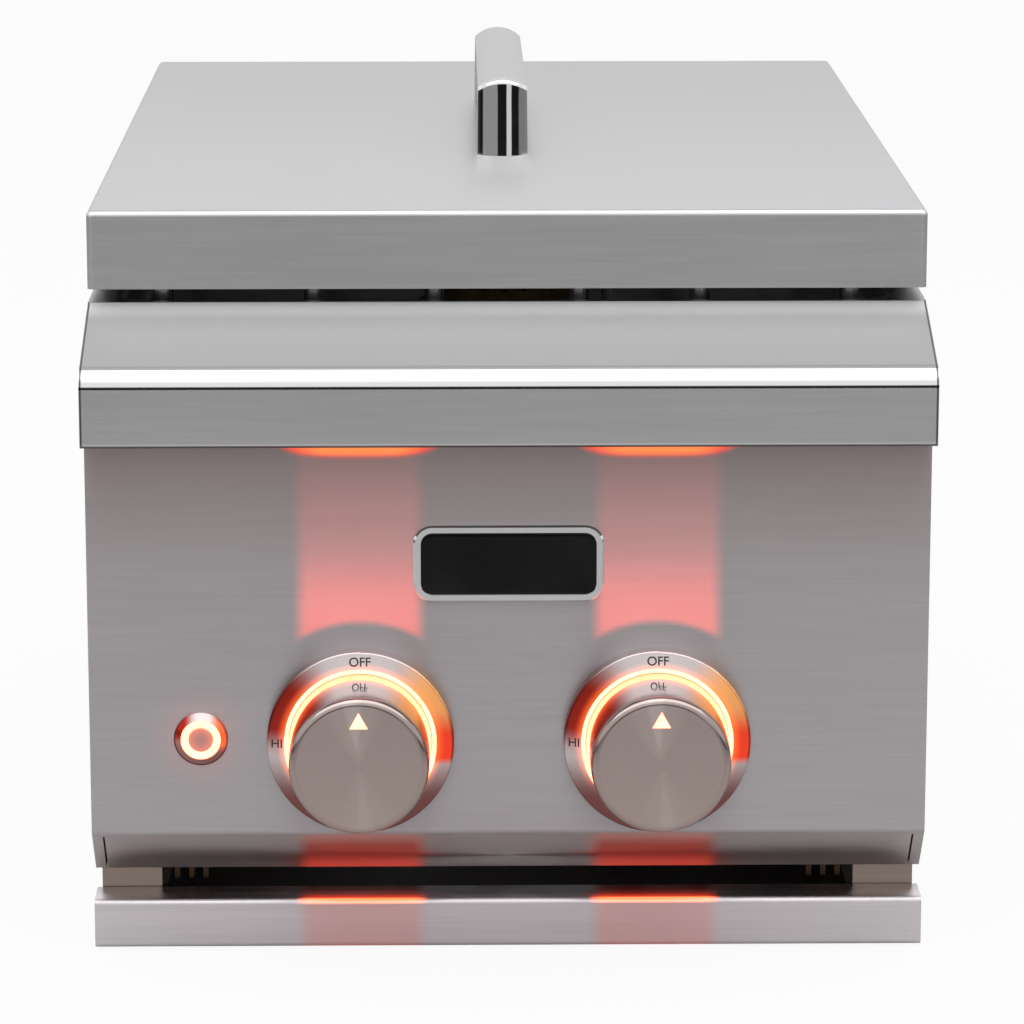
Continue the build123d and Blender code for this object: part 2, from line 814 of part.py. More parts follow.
def lid_shell():
    """Folded lid with a skirt and a narrow hem turned in under it."""
    middle_depth = lid_setback + lid_length / 2
    centre = Pos(0, at(middle_depth), 0)
    outer = centre * Pos(0, 0, lid_foot) * extrude(RectangleRounded(width, lid_length, lid_edge), lid_height)
    outer = fillet(outer.edges().group_by(Axis.Z)[-1], lid_edge - slip)
    inside = Rectangle(width - 2 * sheet, lid_length - 2 * sheet)
    mouth = Rectangle(width - 2 * lid_hem, lid_length - 2 * lid_hem)
    shell = outer - centre * Pos(0, 0, lid_foot + sheet) * extrude(inside, lid_height - 2 * sheet)
    shell -= centre * Pos(0, 0, lid_foot - overcut) * extrude(mouth, sheet + 2 * overcut)
    for depth in handle_post_depths():
        shell -= upright(0, depth, handle_screw_radius + slip, lid_top - 2 * sheet, lid_top + sheet)
    return shell


def handle_post_depths():
    """Middles of the handle's two posts."""
    first = lid_setback + handle_setback
    return (first + handle_thickness / 2, first + handle_length - handle_thickness / 2)


def lid_handle():
    """Cast bridge handle with an arched outside all the way round."""
    half = handle_width / 2
    shoulder = handle_height - handle_arch
    end = handle_length / 2
    arch = make_face([
        Polyline((half, shoulder), (half, 0), (-half, 0), (-half, shoulder)),
        ThreePointArc((-half, shoulder), (0, handle_height), (half, shoulder)),
    ])
    over = extrude(Plane.XZ * arch, handle_length, both=True)
    plan = make_face([
        Line((half, handle_arch - end), (half, end - handle_arch)),
        ThreePointArc((half, end - handle_arch), (0, end), (-half, end - handle_arch)),
        Line((-half, end - handle_arch), (-half, handle_arch - end)),
        ThreePointArc((-half, handle_arch - end), (0, -end), (half, handle_arch - end)),
    ])
    bar = over & extrude(plan, handle_height, taper=handle_draft)
    grip = RectangleRounded(handle_length - 2 * handle_thickness, 2 * (handle_height - handle_thickness),
                            handle_inner_radius)
    bar -= extrude(Plane.YZ * grip, handle_width, both=True)
    end_edges = [e for e in bar.edges()
                 if e.center().Z > shoulder - near and abs(e.center().Y) > end - handle_thickness]
    bar = fillet(end_edges, handle_edge)
    bar = Pos(0, at(lid_setback + handle_setback + end), lid_top) * bar
    for depth in handle_post_depths():
        hole_end = lid_top + handle_screw_depth + gap
        bar -= upright(0, depth, handle_screw_radius + slip, lid_top - overcut, hole_end)
    return bar


def handle_screws():
    """Pan-head screws that hold the handle from inside the lid."""
    under = lid_top - sheet
    screws = []
    for depth in handle_post_depths():
        shank = upright(0, depth, handle_screw_radius, under, lid_top + handle_screw_depth)
        head = upright(0, depth, handle_screw_head, under - handle_screw_head_height, under)
        head = fillet(head.edges().group_by(Axis.Z)[0], handle_screw_head_height / 2)
        screws.append((shank + head).solid())
    return Compound(screws)


def lid_pads():
    """Rubber pads under the hem that carry the lid on the counter flange."""
    pads = []
    for x in (-1, 1):
        for depth in (lid_setback + pad_setback, lid_setback + lid_length - pad_setback):
            place = half_width - sheet - pad_radius - gap
            pads.append(upright(x * place, depth, pad_radius, deck_height, lid_foot).solid())
    return Compound(pads)


def switch_housing():
    """Threaded body of the push switch with a bevelled bezel in front of the panel."""
    pocket = switch_ring_outer + slip
    bevel = pocket + slip
    top = switch_flange_height
    points = [
        (0, -switch_length), (switch_barrel, -switch_length), (switch_barrel, 0), (switch_flange, 0),
        (switch_flange, top / 3), (bevel, top), (pocket, top), (pocket, -switch_pocket),
        (0, -switch_pocket),
    ]
    well = switch_plunger_tail + switch_travel + spare
    return on_panel(switch_x) * (turned(points) - peg(switch_plunger + gap, -well, 0))


def switch_nut_ring():
    """Hexagon nut that clamps the switch from behind the panel."""
    nut = hexagon_bar(switch_nut, switch_nut_thickness) - Cylinder(
        switch_barrel + slip, 4 * switch_nut_thickness
    )
    return on_panel(switch_x) * Pos(0, 0, -sheet - switch_nut_thickness) * nut


def switch_light():
    """Translucent ring round the switch's cap."""
    points = [
        (switch_ring_inner, -switch_pocket), (switch_ring_outer, -switch_pocket),
        (switch_ring_outer, switch_flange_height - slip), (switch_ring_inner, switch_flange_height - slip),
    ]
    return on_panel(switch_x) * turned(points)


def switch_cap():
    """Cap that the finger pushes, with its plunger."""
    tail = -switch_plunger_tail
    back = -switch_cap_depth
    points = [
        (0, tail), (switch_plunger, tail), (switch_plunger, back), (switch_cap_radius, back),
        (switch_cap_radius, switch_cap_height), (0, switch_cap_height),
    ]
    return on_panel(switch_x) * turned(points, [0, 0, 0, 0, switch_cap_edge, 0])


def tray_front():
    """Rail that closes the front of the drip tray: face, top, lower return and ends."""
    back = post_setback - 2 * gap
    face = [(rail_setback, rail_foot), (rail_setback, rail_top), (back, rail_top)]
    outline = folded([(rail_setback + rail_return, rail_foot), *face], [bend, bend])
    rail = along_x(outline, -half_width, half_width)
    end = FilletPolyline((back, rail_foot), *face, radius=[0, bend, bend, 0], close=True)
    for low in (-half_width, half_width - sheet):
        rail += along_x(end, low, low + sheet)
    return rail


def tray_pan():
    """Shallow pan of the drip tray with lips that ride on the runners."""
    front = rail_setback + sheet
    long = tray_length
    centre = Pos(0, at(front + long / 2), 0)

    def tub(inset, floor):
        plan = RectangleRounded(2 * (tray_half - inset), long - 2 * inset, tray_corner - inset)
        return centre * Pos(0, 0, floor) * extrude(plan, tray_top - floor)

    pan = tub(0, tray_floor)
    lip_start = post_back + sheet
    for x in (-1, 1):
        pair = sorted((x * (tray_half - sheet), x * (tray_half + tray_lip)))
        pan += block(pair, (lip_start, front + long - tray_corner), (tray_top - sheet, tray_top))
    return pan - tub(sheet, tray_floor + sheet)


def tray_runner():
    """Right runner: a shelf for the tray's lip, folded up against the side wall."""
    shelf_top = tray_top - sheet - gap
    shelf_edge = tray_half + tray_lip - runner_shelf_cover
    outline = FilletPolyline(
        (shelf_edge, shelf_top), (shelf_edge, shelf_top - sheet),
        (casing_inside, shelf_top - sheet), (casing_inside, shelf_top + runner_web),
        (casing_inside - sheet, shelf_top + runner_web), (casing_inside - sheet, shelf_top),
        radius=[0, 0, bend, 0, 0, bend - sheet], close=True,
    )
    return along_depth(outline, runner_setback, rear_inside)


def pieces():
    """Every node by name."""
    found = {
        "right_side_panel": side_panel(),
        "rear_panel": rear_panel(),
        "right_front_post": front_post(),
        "front_header": front_header(),
        "air_baffle": air_baffle(),
        "deck_pan": deck_pan(),
        "front_trim": front_trim(),
        "control_panel": control_panel(),
        "badge_plate": badge_plate(),
        "gas_manifold": gas_manifold(),
        "manifold_plugs": manifold_plugs(),
        "manifold_brackets": manifold_brackets(),
        "gas_supply_tube": supply_tube(),
        "gas_inlet_fitting": inlet_fitting(),
        "power_gland": power_gland(),
        "lid_shell": lid_shell(),
        "lid_handle": lid_handle(),
        "handle_screws": handle_screws(),
        "lid_pads": lid_pads(),
        "switch_housing": switch_housing(),
        "switch_nut": switch_nut_ring(),
        "switch_light_ring": switch_light(),
        "switch_cap": switch_cap(),
        "drip_tray_front": tray_front(),
        "drip_tray_pan": tray_pan(),
        "right_tray_runner": tray_runner(),
    }
    for name in ("side_panel", "front_post", "tray_runner"):
        found["left_" + name] = mirrored(found["right_" + name])
    controls = (bezel, light_ring, light_board, valve_body, injector, thrust_collar, valve_stem, knob_hub,
                knob_shell, pointer_lens)
    for side, x in knob_x.items():
        for make in controls:
            found[f"{side}_{make.__name__}"] = make(x)
    for name in burner_depths:
        for make in (burner_tube, burner_head, burner_cap, igniter, grate):
            found[f"{name}_{make.__name__}"] = make(name)
    return found


os.makedirs("parts", exist_ok=True)
for node, solid in pieces().items():
    export_step(solid, f"parts/{node}.step")
print("trim slope", round(degrees(slope), 1), "degrees; origin", round(middle, 2), "mm behind the trim")
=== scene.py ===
# %% [markdown]
# A built-in side burner with two gas burners under a lift-off lid. The solids come from the CAD frame,
# already in metres and in place. This lesson gives them their finishes, adds what CAD leaves out, such as
# printed words, screws, welds and a thread, and lights the burner as in a small white studio.

# %% Load the frame
import itertools
import math

import bmesh
import bpy
from mathutils import Matrix, Vector


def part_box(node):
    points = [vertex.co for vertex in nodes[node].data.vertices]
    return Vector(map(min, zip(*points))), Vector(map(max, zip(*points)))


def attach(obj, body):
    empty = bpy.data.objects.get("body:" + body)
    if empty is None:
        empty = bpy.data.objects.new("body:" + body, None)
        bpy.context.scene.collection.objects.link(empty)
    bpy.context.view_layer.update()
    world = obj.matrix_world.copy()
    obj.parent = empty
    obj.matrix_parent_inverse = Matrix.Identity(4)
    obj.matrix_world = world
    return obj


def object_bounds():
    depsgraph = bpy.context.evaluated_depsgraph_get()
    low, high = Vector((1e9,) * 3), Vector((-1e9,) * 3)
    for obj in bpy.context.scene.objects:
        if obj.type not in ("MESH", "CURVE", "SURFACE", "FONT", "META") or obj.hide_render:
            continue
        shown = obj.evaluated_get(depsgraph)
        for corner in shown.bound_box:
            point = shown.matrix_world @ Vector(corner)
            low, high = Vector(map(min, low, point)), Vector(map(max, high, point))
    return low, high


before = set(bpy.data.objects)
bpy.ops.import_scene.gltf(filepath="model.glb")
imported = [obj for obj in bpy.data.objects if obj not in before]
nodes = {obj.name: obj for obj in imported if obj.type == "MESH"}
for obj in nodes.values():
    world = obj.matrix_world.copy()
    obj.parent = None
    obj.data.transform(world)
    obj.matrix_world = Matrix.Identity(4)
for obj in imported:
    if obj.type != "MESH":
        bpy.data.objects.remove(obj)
cad_low, cad_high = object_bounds()
MM = 0.001
print(len(nodes), "nodes in a box of", [round(v, 3) for v in cad_high - cad_low], "m")

# %% [markdown]
# Many details sit relative to the knobs, the switch or the panel. Reading those places from the frame,
# and not typing them again, keeps the lesson right if the CAD changes. Several pieces come in pairs, a
# left and a right one or a front and a rear one, so their names are made from these words.

# %% Places read from the frame
SIDES = ("left", "right")
BURNERS = ("front", "rear")


def middle(node):
    low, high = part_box(node)
    return (low + high) / 2


panel_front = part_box("control_panel")[0].y
lip_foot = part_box("front_trim")[0].z
knob_axes = {side: middle(f"{side}_bezel") for side in SIDES}
switch_axis = middle("switch_housing")
ring_low, ring_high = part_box("left_light_ring")
ring_radius = (ring_high.x - ring_low.x) / 2
bezel_low, bezel_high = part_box("left_bezel")
bezel_radius = (bezel_high.x - bezel_low.x) / 2
control_height = knob_axes["left"].z
knob_places = [round(axis.x / MM, 1) for axis in knob_axes.values()]
print("knob axes at x", knob_places, "mm, z", round(control_height / MM, 1), "mm")

# %% [markdown]
# A camera with a long lens stands a little left of the middle and looks down on the burner. Its place
# came from matching corners of the lid, the trim, the rail and the knobs. It has no lens shift, so that
# views from other sides stay centred.

# %% Camera
camera_place = Vector((-0.0253, -2.0889, 0.5965))
camera_down = math.radians(12.551)
camera_right = math.radians(0.8325)
lens_mm = 162.54
sensor_mm = 36.0

camera_data = bpy.data.cameras.new("camera")
camera_data.sensor_width = sensor_mm
camera_data.lens = lens_mm
camera = bpy.data.objects.new("camera", camera_data)
camera.location = camera_place
camera.rotation_euler = (math.pi / 2 - camera_down, 0, -camera_right)
bpy.context.scene.collection.objects.link(camera)
bpy.context.scene.camera = camera
camera_distance = (camera_place - Vector((0, panel_front, control_height))).length
print("camera", round(camera_distance, 2), "m from the panel")

# %% [markdown]
# Metal is mostly a matter of small changes in roughness and slope, so every finish needs some arithmetic
# in its nodes. Wiring Math nodes by hand hides the idea. This small class wraps a socket so that a
# formula can be written as Python, and each operator adds its Math node.

# %% Shader expressions
class Wire:
    """An output socket that works in Python expressions."""

    def __init__(self, tree, socket):
        self.tree = tree
        self.socket = socket

    def make(self, kind, settings=None, sockets=None, output=0):
        """Adds any node: settings first, then values or links of its sockets."""
        node = self.tree.nodes.new(kind)
        for name, value in (settings or {}).items():
            setattr(node, name, value)
        plug(self.tree, node, sockets or {})
        return Wire(self.tree, node.outputs[output])

    def maths(self, operation, first, second=0.0):
        return self.make("ShaderNodeMath", {"operation": operation}, {0: first, 1: second})

    def __add__(self, other):
        return self.maths("ADD", self, other)

    __radd__ = __add__

    def __sub__(self, other):
        return self.maths("SUBTRACT", self, other)

    def __rsub__(self, other):
        return self.maths("SUBTRACT", other, self)

    def __mul__(self, other):
        return self.maths("MULTIPLY", self, other)

    __rmul__ = __mul__

    def __truediv__(self, other):
        return self.maths("DIVIDE", self, other)

    def __abs__(self):
        return self.maths("ABSOLUTE", self)

    def root(self):
        return self.maths("SQRT", self)

    def ramp(self, low, high):
        """0 at low, 1 at high and smooth between; low may be the larger."""
        sockets = {"Value": self, "From Min": low, "From Max": high}
        return self.make("ShaderNodeMapRange", {"interpolation_type": "SMOOTHSTEP"}, sockets)

    def spread(self):
        """Noise keeps near its middle; this stretches it over 0 to 1."""
        return self.ramp(0.3, 0.7)

    def split(self):
        """The three parts of a vector."""
        node = self.tree.nodes.new("ShaderNodeSeparateXYZ")
        self.tree.links.new(self.socket, node.inputs[0])
        return [Wire(self.tree, out) for out in node.outputs]

    def noise(self, scales, detail=2.0):
        """Noise with its own scale, in cycles per metre, along each axis."""
        stretched = self.make("ShaderNodeVectorMath", {"operation": "MULTIPLY"}, {0: self, 1: scales})
        return self.make("ShaderNodeTexNoise", None, {"Vector": stretched, "Scale": 1.0, "Detail": detail})

    def tint(self, dark, light):
        """A colour between two, by this value; each is a colour or the output of another tint."""
        ends = [end if isinstance(end, Wire) else (*end, 1.0) for end in (dark, light)]
        return self.make("ShaderNodeMix", {"data_type": "RGBA"}, {0: self, 6: ends[0], 7: ends[1]}, 2)

    def bump(self, depth):
        return self.make("ShaderNodeBump", None, {"Height": self, "Distance": depth})


def plug(tree, node, sockets):
    """Sets or links a node's inputs by name or number."""
    for key, value in sockets.items():
        if isinstance(value, Wire):
            tree.links.new(value.socket, node.inputs[key])
        else:
            node.inputs[key].default_value = value


print("shader expressions ready")

# %% [markdown]
# Every finish is made alike: a function of the place on the piece works out what varies, and what is the
# same all over is set on the shader itself. The place is in Object coordinates, so a pattern keeps its
# scale in metres and moves with its piece.

# %% Finishes
def finish(name, build, **constants):
    """A material: build(place) returns the shader's varying inputs, and constants are the same all over."""
    material = bpy.data.materials.new(name)
    material.use_nodes = True
    tree = material.node_tree
    shader = tree.nodes["Principled BSDF"]
    place = Wire(tree, tree.nodes.new("ShaderNodeTexCoord").outputs["Object"])
    plug(tree, shader, {key.replace("_", " "): value for key, value in constants.items()})
    plug(tree, shader, build(place))
    return material


def dress(material, *names):
    """Gives CAD nodes their material."""
    for name in names:
        nodes[name].material_slots[0].material = material


def grey(level):
    return (level, level, level)


def scaled(colour, factor):
    return tuple(part * factor for part in colour)


print("finishes ready for", len(nodes), "nodes")

# %% [markdown]
# The outer sheets are stainless steel brushed from side to side. Brushing leaves grooves a fraction of a
# millimetre wide and several centimetres long. Noise that is stretched along X gives both the fine
# grooves and the broader streaks that the eye sees. The grooves spread a reflection across themselves:
# the upright sheets get that from anisotropy, and the bump adds the visible lines. Anisotropy turns about
# the middle of a flat top, which brushed steel does not, so the lid goes without.

# %% Brushed steel
LID_STEEL = (0.625, 0.625, 0.64)
# Painted shade: the lid's colour darkens towards its back.
LID_PAINTED_SHADE = (0.40, 0.40, 0.41)
# Painted shade and painted red light: the front posts' steel is darkened and warmed.
POST_PAINTED_SHADE_AND_RED_LIGHT = (0.31, 0.25, 0.21)
painted_shade_at_back = 0.35
lid_groove = 0.01 * MM


def brushed(place, colour, roughness, groove=0.02 * MM, depth=1.0):
    """Inputs of steel brushed along X; depth scales the grooves."""
    fine = place.noise((28, 1500, 1500))
    broad = place.noise((9, 330, 330), detail=4.0)
    cloud = place.noise((5, 5, 5))
    tone = fine * 0.5 + broad * 0.3 + cloud * 0.2
    return {
        "Base Color": tone.spread().tint(scaled(colour, 0.95), scaled(colour, 1.05)),
        "Roughness": roughness + (broad - 0.5) * 0.06 + (cloud - 0.5) * 0.04,
        "Normal": ((fine * 0.85 + broad * 0.15) * depth).bump(groove),
    }


lid_low, lid_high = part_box("lid_shell")


def lid_build(place):
    made = brushed(place, LID_STEEL, 0.36, groove=lid_groove)
    # painted shade, darker towards the back of the lid
    back = place.split()[1].ramp(lid_low.y, lid_high.y)
    made["Base Color"] = (back * painted_shade_at_back).tint(made["Base Color"], LID_PAINTED_SHADE)
    return made


def post_build(place):
    # darkened, warmer colour: painted shade with painted red light from the knobs
    return brushed(place, POST_PAINTED_SHADE_AND_RED_LIGHT, 0.30)


spread_across = {"Metallic": 1.0, "Anisotropic": 0.85, "Anisotropic_Rotation": 0.25}
dress(finish("lid_steel", lid_build, Metallic=1.0), "lid_shell")
dress(finish("post_steel", post_build, **spread_across), "left_front_post", "right_front_post")
print("lid and posts brushed")

# %% [markdown]
# The trim has three zones of one sheet: the slope and the upright face are brushed, and the rounded nose
# between them is polished, which gives the bright line across the front. The slope lies under the edge of
# the lid and would mirror its shadow; on real steel coarse brushing scatters light there, so it is
# rougher and partly diffuse. Its colour is painted paler towards the lid, painted light against the
# lid's shadow. A thin warm line of painted shade marks the bend above the nose.
# The seam at each end and the cut edge at the foot are dark lines.

# %% Trim
TRIM_STEEL = (0.63, 0.62, 0.625)
SLOPE_GREY = grey(0.44)
# Painted light: the slope is paler towards the lid, against the lid's shadow.
SLOPE_PAINTED_LIGHT = grey(0.86)
# Painted shade: a thin warm line at the bend above the nose.
BEND_PAINTED_SHADE = (0.28, 0.25, 0.235)
LIP_GREY = grey(0.14)
NOSE_BRIGHT = grey(0.80)
SEAM_DARK = (0.15, 0.13, 0.12)
trim_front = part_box("front_trim")[0].y
trim_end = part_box("front_trim")[1].x
face_height = 24.1 * MM
nose_foot = lip_foot + face_height
nose_depth = 5.4 * MM
slope_depth = lid_low.y - trim_front
zone_edge = 0.3 * MM


def trim_build(place):
    x, y, z = place.split()
    inward = y - trim_front
    above = z.ramp(nose_foot - zone_edge, nose_foot + zone_edge)
    slope = above * inward.ramp(nose_depth - zone_edge, nose_depth + zone_edge)
    nose = above - slope
    made = brushed(place, TRIM_STEEL, 0.33, depth=1 - nose)
    inset = trim_end - abs(x)
    seam = inset.ramp(1.1 * MM, 0.8 * MM) * inset.ramp(0.1 * MM, 0.3 * MM)
    lip = z.ramp(lip_foot + 1.6 * MM, lip_foot + 0.8 * MM)
    # painted light that lifts the slope under the lid's edge
    painted_light_under_lid = inward.ramp(slope_depth - 12.8 * MM, slope_depth + 1.2 * MM)
    bend = slope * inward.ramp(nose_depth + 2.4 * MM, nose_depth + 1.2 * MM)
    colour = slope.tint(made["Base Color"], painted_light_under_lid.tint(SLOPE_GREY, SLOPE_PAINTED_LIGHT))
    # painted shade along the bend
    colour = (bend * 0.5).tint(colour, BEND_PAINTED_SHADE)
    colour = lip.tint(colour, LIP_GREY)
    colour = nose.tint(colour, NOSE_BRIGHT)
    made["Base Color"] = seam.tint(colour, SEAM_DARK)
    made["Roughness"] = made["Roughness"] + slope * 0.17 - nose * 0.25
    made["Metallic"] = 1 - slope * 0.4
    return made


dress(finish("trim_steel", trim_build), "front_trim")
print("nose polished from z", round(nose_foot / MM, 1), "mm, slope", round(slope_depth / MM, 1), "mm deep")

# %% [markdown]
# The knob lights spill on the sheets near them: a red band runs up and down the brushed steel above and
# below each knob, and the corner under the trim catches a bright streak, orange in its middle and red at
# its ends. All this could be left to bounced light, but that is noisy and is lost when the part is shown
# elsewhere, so it is painted as a soft emission that belongs to the sheet, over steel whose colour is
# tinted red, painted red light as well.

# %% Bands of light
LAMP_RED = (1.0, 0.060, 0.025)
# Painted red light: steel tinted red where the knob lights spill.
STEEL_PAINTED_RED_LIGHT = (0.30, 0.11, 0.095)
BLACK = (0.0, 0.0, 0.0)
glow_strength = 2.0
band_half = 24.5 * MM
band_edge = 4 * MM


def in_band(across):
    """1 within the width of the band of light."""
    return abs(across).ramp(band_half + band_edge, band_half - band_edge)


def beside_knobs(x):
    """1 within the band of either knob."""
    found = 0.0
    for axis in knob_axes.values():
        found = in_band(x - axis.x) + found
    return found


def around(place, axis):
    """Distance from an axis that runs from front to back, and the way across and up from it."""
    x, _, z = place.split()
    across = x - axis.x
    up = z - axis.z
    return (across * across + up * up).root(), across, up


print("bands of light", round(2 * band_half / MM), "mm wide")

# %% [markdown]
# The control panel has the most of this light. Each dial shades the steel close above it, and the band
# fades towards the trim. The streak is deepest in its middle. The chamfer at the foot takes a duller red.
# The steel under the trim is painted darker and warmer, painted shade, and the chamfer's steel is painted
# lighter and warmer, painted light from the knobs.

# %% Light on the control panel
PANEL_STEEL = (0.475, 0.45, 0.463)
# Painted shade: darker, warmer steel under the trim.
PANEL_PAINTED_SHADE = (0.41, 0.34, 0.335)
# Painted light: lighter, warmer steel on the chamfer.
CHAMFER_PAINTED_WARM_LIGHT = (0.54, 0.49, 0.48)
STREAK_ORANGE = (0.55, 0.125, 0.022)
DULL_RED = (1.0, 0.17, 0.14)
panel_fold = 52.5 * MM
shade_radius = bezel_radius + 11 * MM
lip_cover = 4.9 * MM
streak_half = 30 * MM
streak_depth = 3 * MM


def panel_build(place):
    x, _, z = place.split()
    under_trim = lip_foot - lip_cover - z
    bands = 0.0
    streaks = 0.0
    cores = 0.0
    for axis in knob_axes.values():
        away, across, up = around(place, axis)
        clear = away.ramp(shade_radius - 2.5 * MM, shade_radius + 2 * MM) * up.ramp(0, 10 * MM)
        fade = up.ramp(85 * MM, 50 * MM) * 0.38 + up.ramp(140 * MM, 60 * MM) * 0.26
        bands = in_band(across) * clear * fade + bands
        wide = across * across / streak_half ** 2
        fall = under_trim + wide * wide * streak_depth
        streaks = abs(across).ramp(42 * MM, 25 * MM) * fall.ramp(4.8 * MM, 0.8 * MM) + streaks
        cores = abs(across).ramp(30 * MM, 14 * MM) * fall.ramp(3.6 * MM, 0.6 * MM) + cores
    chamfer = beside_knobs(x) * z.ramp(panel_fold, panel_fold - 9 * MM)
    made = brushed(place, PANEL_STEEL, 0.36)
    # painted shade under the trim, then painted light on the chamfer
    shaded = z.ramp(lip_foot - 70 * MM, lip_foot + 5 * MM)
    colour = shaded.tint(made["Base Color"], PANEL_PAINTED_SHADE)
    colour = z.ramp(panel_fold, panel_fold - 3 * MM).tint(colour, CHAMFER_PAINTED_WARM_LIGHT)
    colour = (chamfer * 0.85).tint(colour, STEEL_PAINTED_RED_LIGHT)
    made["Base Color"] = (streaks * 0.9).tint(colour, STEEL_PAINTED_RED_LIGHT)
    round_switch = around(place, switch_axis)[0].ramp(24 * MM, 9 * MM)
    chamfer_foot = chamfer * z.ramp(41 * MM, 31 * MM)
    red = (bands + round_switch * 0.07 + chamfer_foot * 0.28) / glow_strength
    glow = (red + streaks * 0.42).tint(BLACK, LAMP_RED)
    spill = chamfer * (0.06 + z.ramp(46 * MM, 33 * MM) * 0.10) / glow_strength
    glow = spill.tint(glow, DULL_RED)
    made["Emission Color"] = cores.tint(glow, STREAK_ORANGE)
    return made


panel_steel = finish("panel_steel", panel_build, Emission_Strength=glow_strength, **spread_across)
dress(panel_steel, "control_panel")
print("streaks of light", round(2 * streak_half / MM), "mm wide under the trim")

# %% [markdown]
# The rail in front of the drip tray catches the same light: a red glow on its top, a bright line along
# the bend and a faint pink band down its face. All of it is painted: emission, with the steel's colour
# tinted red on the top and pink on the face.

# %% Light on the rail
RAIL_STEEL = (0.70, 0.665, 0.69)
# Painted light: the pink band down the rail's face.
RAIL_PAINTED_PINK_LIGHT = (0.66, 0.36, 0.33)
LINE_ORANGE = (1.0, 0.175, 0.042)
rail_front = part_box("drip_tray_front")[0].y
rail_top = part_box("drip_tray_front")[1].z


def rail_build(place):
    x, y, z = place.split()
    behind = y - rail_front
    below = rail_top - z
    band = beside_knobs(x)
    top = behind.ramp(1.2 * MM, 2.4 * MM)
    bend = behind.ramp(3 * MM, 1.5 * MM) * below.ramp(2.2 * MM, 0.9 * MM)
    made = brushed(place, RAIL_STEEL, 0.34)
    made["Roughness"] = made["Roughness"] - top * 0.04
    colour = (band * (1 - top) * 0.45).tint(made["Base Color"], RAIL_PAINTED_PINK_LIGHT)
    made["Base Color"] = (band * top * 0.85).tint(colour, STEEL_PAINTED_RED_LIGHT)
    top_light = top * (behind.ramp(17 * MM, 3 * MM) * 0.15 + behind.ramp(9 * MM, 2 * MM) * 0.45)
    red = band * (top_light + bend * 0.75 + (1 - top) * 0.07) / glow_strength
    made["Emission Color"] = (band * bend).tint(red.tint(BLACK, LAMP_RED), LINE_ORANGE)
    return made


rail_steel = finish("rail_steel", rail_build, Emission_Strength=glow_strength, **spread_across)
dress(rail_steel, "drip_tray_front")
print("rail top at z", round(rail_top / MM, 1), "mm")

# %% [markdown]
# Sheets that nobody sees in use keep the mill finish: dull, a little cloudy, with faint rolling lines.
# The pressed burner well is satin from the press, and the drip tray's pan is dark from its enamel. A slow
# noise for the clouds and a fine one for the tooth of the surface are enough.

# %% Mill and satin sheet
# Painted shade: the air baffle is nearly black, standing in for the dark inside the opening.
BAFFLE_PAINTED_SHADE = (0.060, 0.038, 0.022)
mill_tooth = 0.01 * MM


def mill(name, colour, roughness, lines=(40, 40, 900)):
    """Dull rolled sheet with clouds and faint lines."""

    def build(place):
        cloud = place.noise((14, 14, 14), detail=4.0)
        line = place.noise(lines)
        tone = cloud * 0.6 + line * 0.4
        return {
            "Base Color": tone.spread().tint(scaled(colour, 0.9), scaled(colour, 1.08)),
            "Roughness": roughness + (cloud - 0.5) * 0.16,
            "Normal": (line * 0.5 + place.noise((2500, 2500, 2500)) * 0.5).bump(mill_tooth),
        }

    return finish(name, build, Metallic=1.0)


casing_steel = mill("casing_steel", grey(0.50), 0.36)
well_steel = mill("well_steel", grey(0.46), 0.34, lines=(60, 60, 60))
tray_enamel = mill("tray_enamel", grey(0.10), 0.45, lines=(200, 200, 200))
# nearly black: painted shade in the opening
baffle_painted_shade = mill("baffle_painted_shade", BAFFLE_PAINTED_SHADE, 0.36)
tube_steel = mill("tube_steel", grey(0.46), 0.34, lines=(300, 300, 300))
rod_steel = mill("rod_steel", grey(0.50), 0.24, lines=(500, 500, 500))
dress(casing_steel, "rear_panel", "front_header", "manifold_brackets")
dress(well_steel, "deck_pan")
dress(tray_enamel, "drip_tray_pan")
dress(baffle_painted_shade, "air_baffle")
for side in SIDES:
    dress(casing_steel, f"{side}_side_panel", f"{side}_tray_runner")
for burner in BURNERS:
    dress(tube_steel, f"{burner}_burner_tube")
    dress(rod_steel, f"{burner}_grate")
print("mill and satin sheets dressed")

# %% [markdown]
# The handle is cast. Its grip is satin, and both ends are polished like a mirror. A perfect mirror looks
# computed, so the polish has a slight waviness, and fingerprints change its roughness a little. Cast
# posts have some draft, which makes them mirror the room and not the lid at their feet: a steady slope in
# the bump leans their faces back by that angle.

# %% Polished steel
waviness = 0.015 * MM


def polished(place, level, roughness, draft=0.0):
    """Inputs of a mirror polish; draft is the slope by which upright faces lean back."""
    smear = place.noise((60, 60, 60), detail=4.0)
    height = place.noise((90, 90, 90)) * waviness
    if draft:
        height = height - place.split()[2] * draft
    return {
        "Base Color": smear.spread().tint(grey(level * 0.96), grey(level)),
        "Roughness": roughness + smear.ramp(0.5, 0.8) * 0.05,
        "Normal": height.bump(1.0),
    }


GRIP_GREY = grey(0.58)
polish_level = 0.80
handle_low, handle_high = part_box("lid_handle")
polish_start = 7.0 * MM
polish_full = 6.0 * MM
cast_draft = math.tan(math.radians(4.3))


def handle_build(place):
    y = place.split()[1]
    grip = (y - handle_low.y).ramp(polish_full, polish_start)
    grip = grip * (handle_high.y - y).ramp(polish_full, polish_start)
    made = polished(place, polish_level, 0.04, draft=cast_draft)
    made["Base Color"] = grip.tint(made["Base Color"], GRIP_GREY)
    made["Roughness"] = made["Roughness"] + grip * 0.36
    return made


def chrome_build(place):
    return polished(place, polish_level, 0.06)


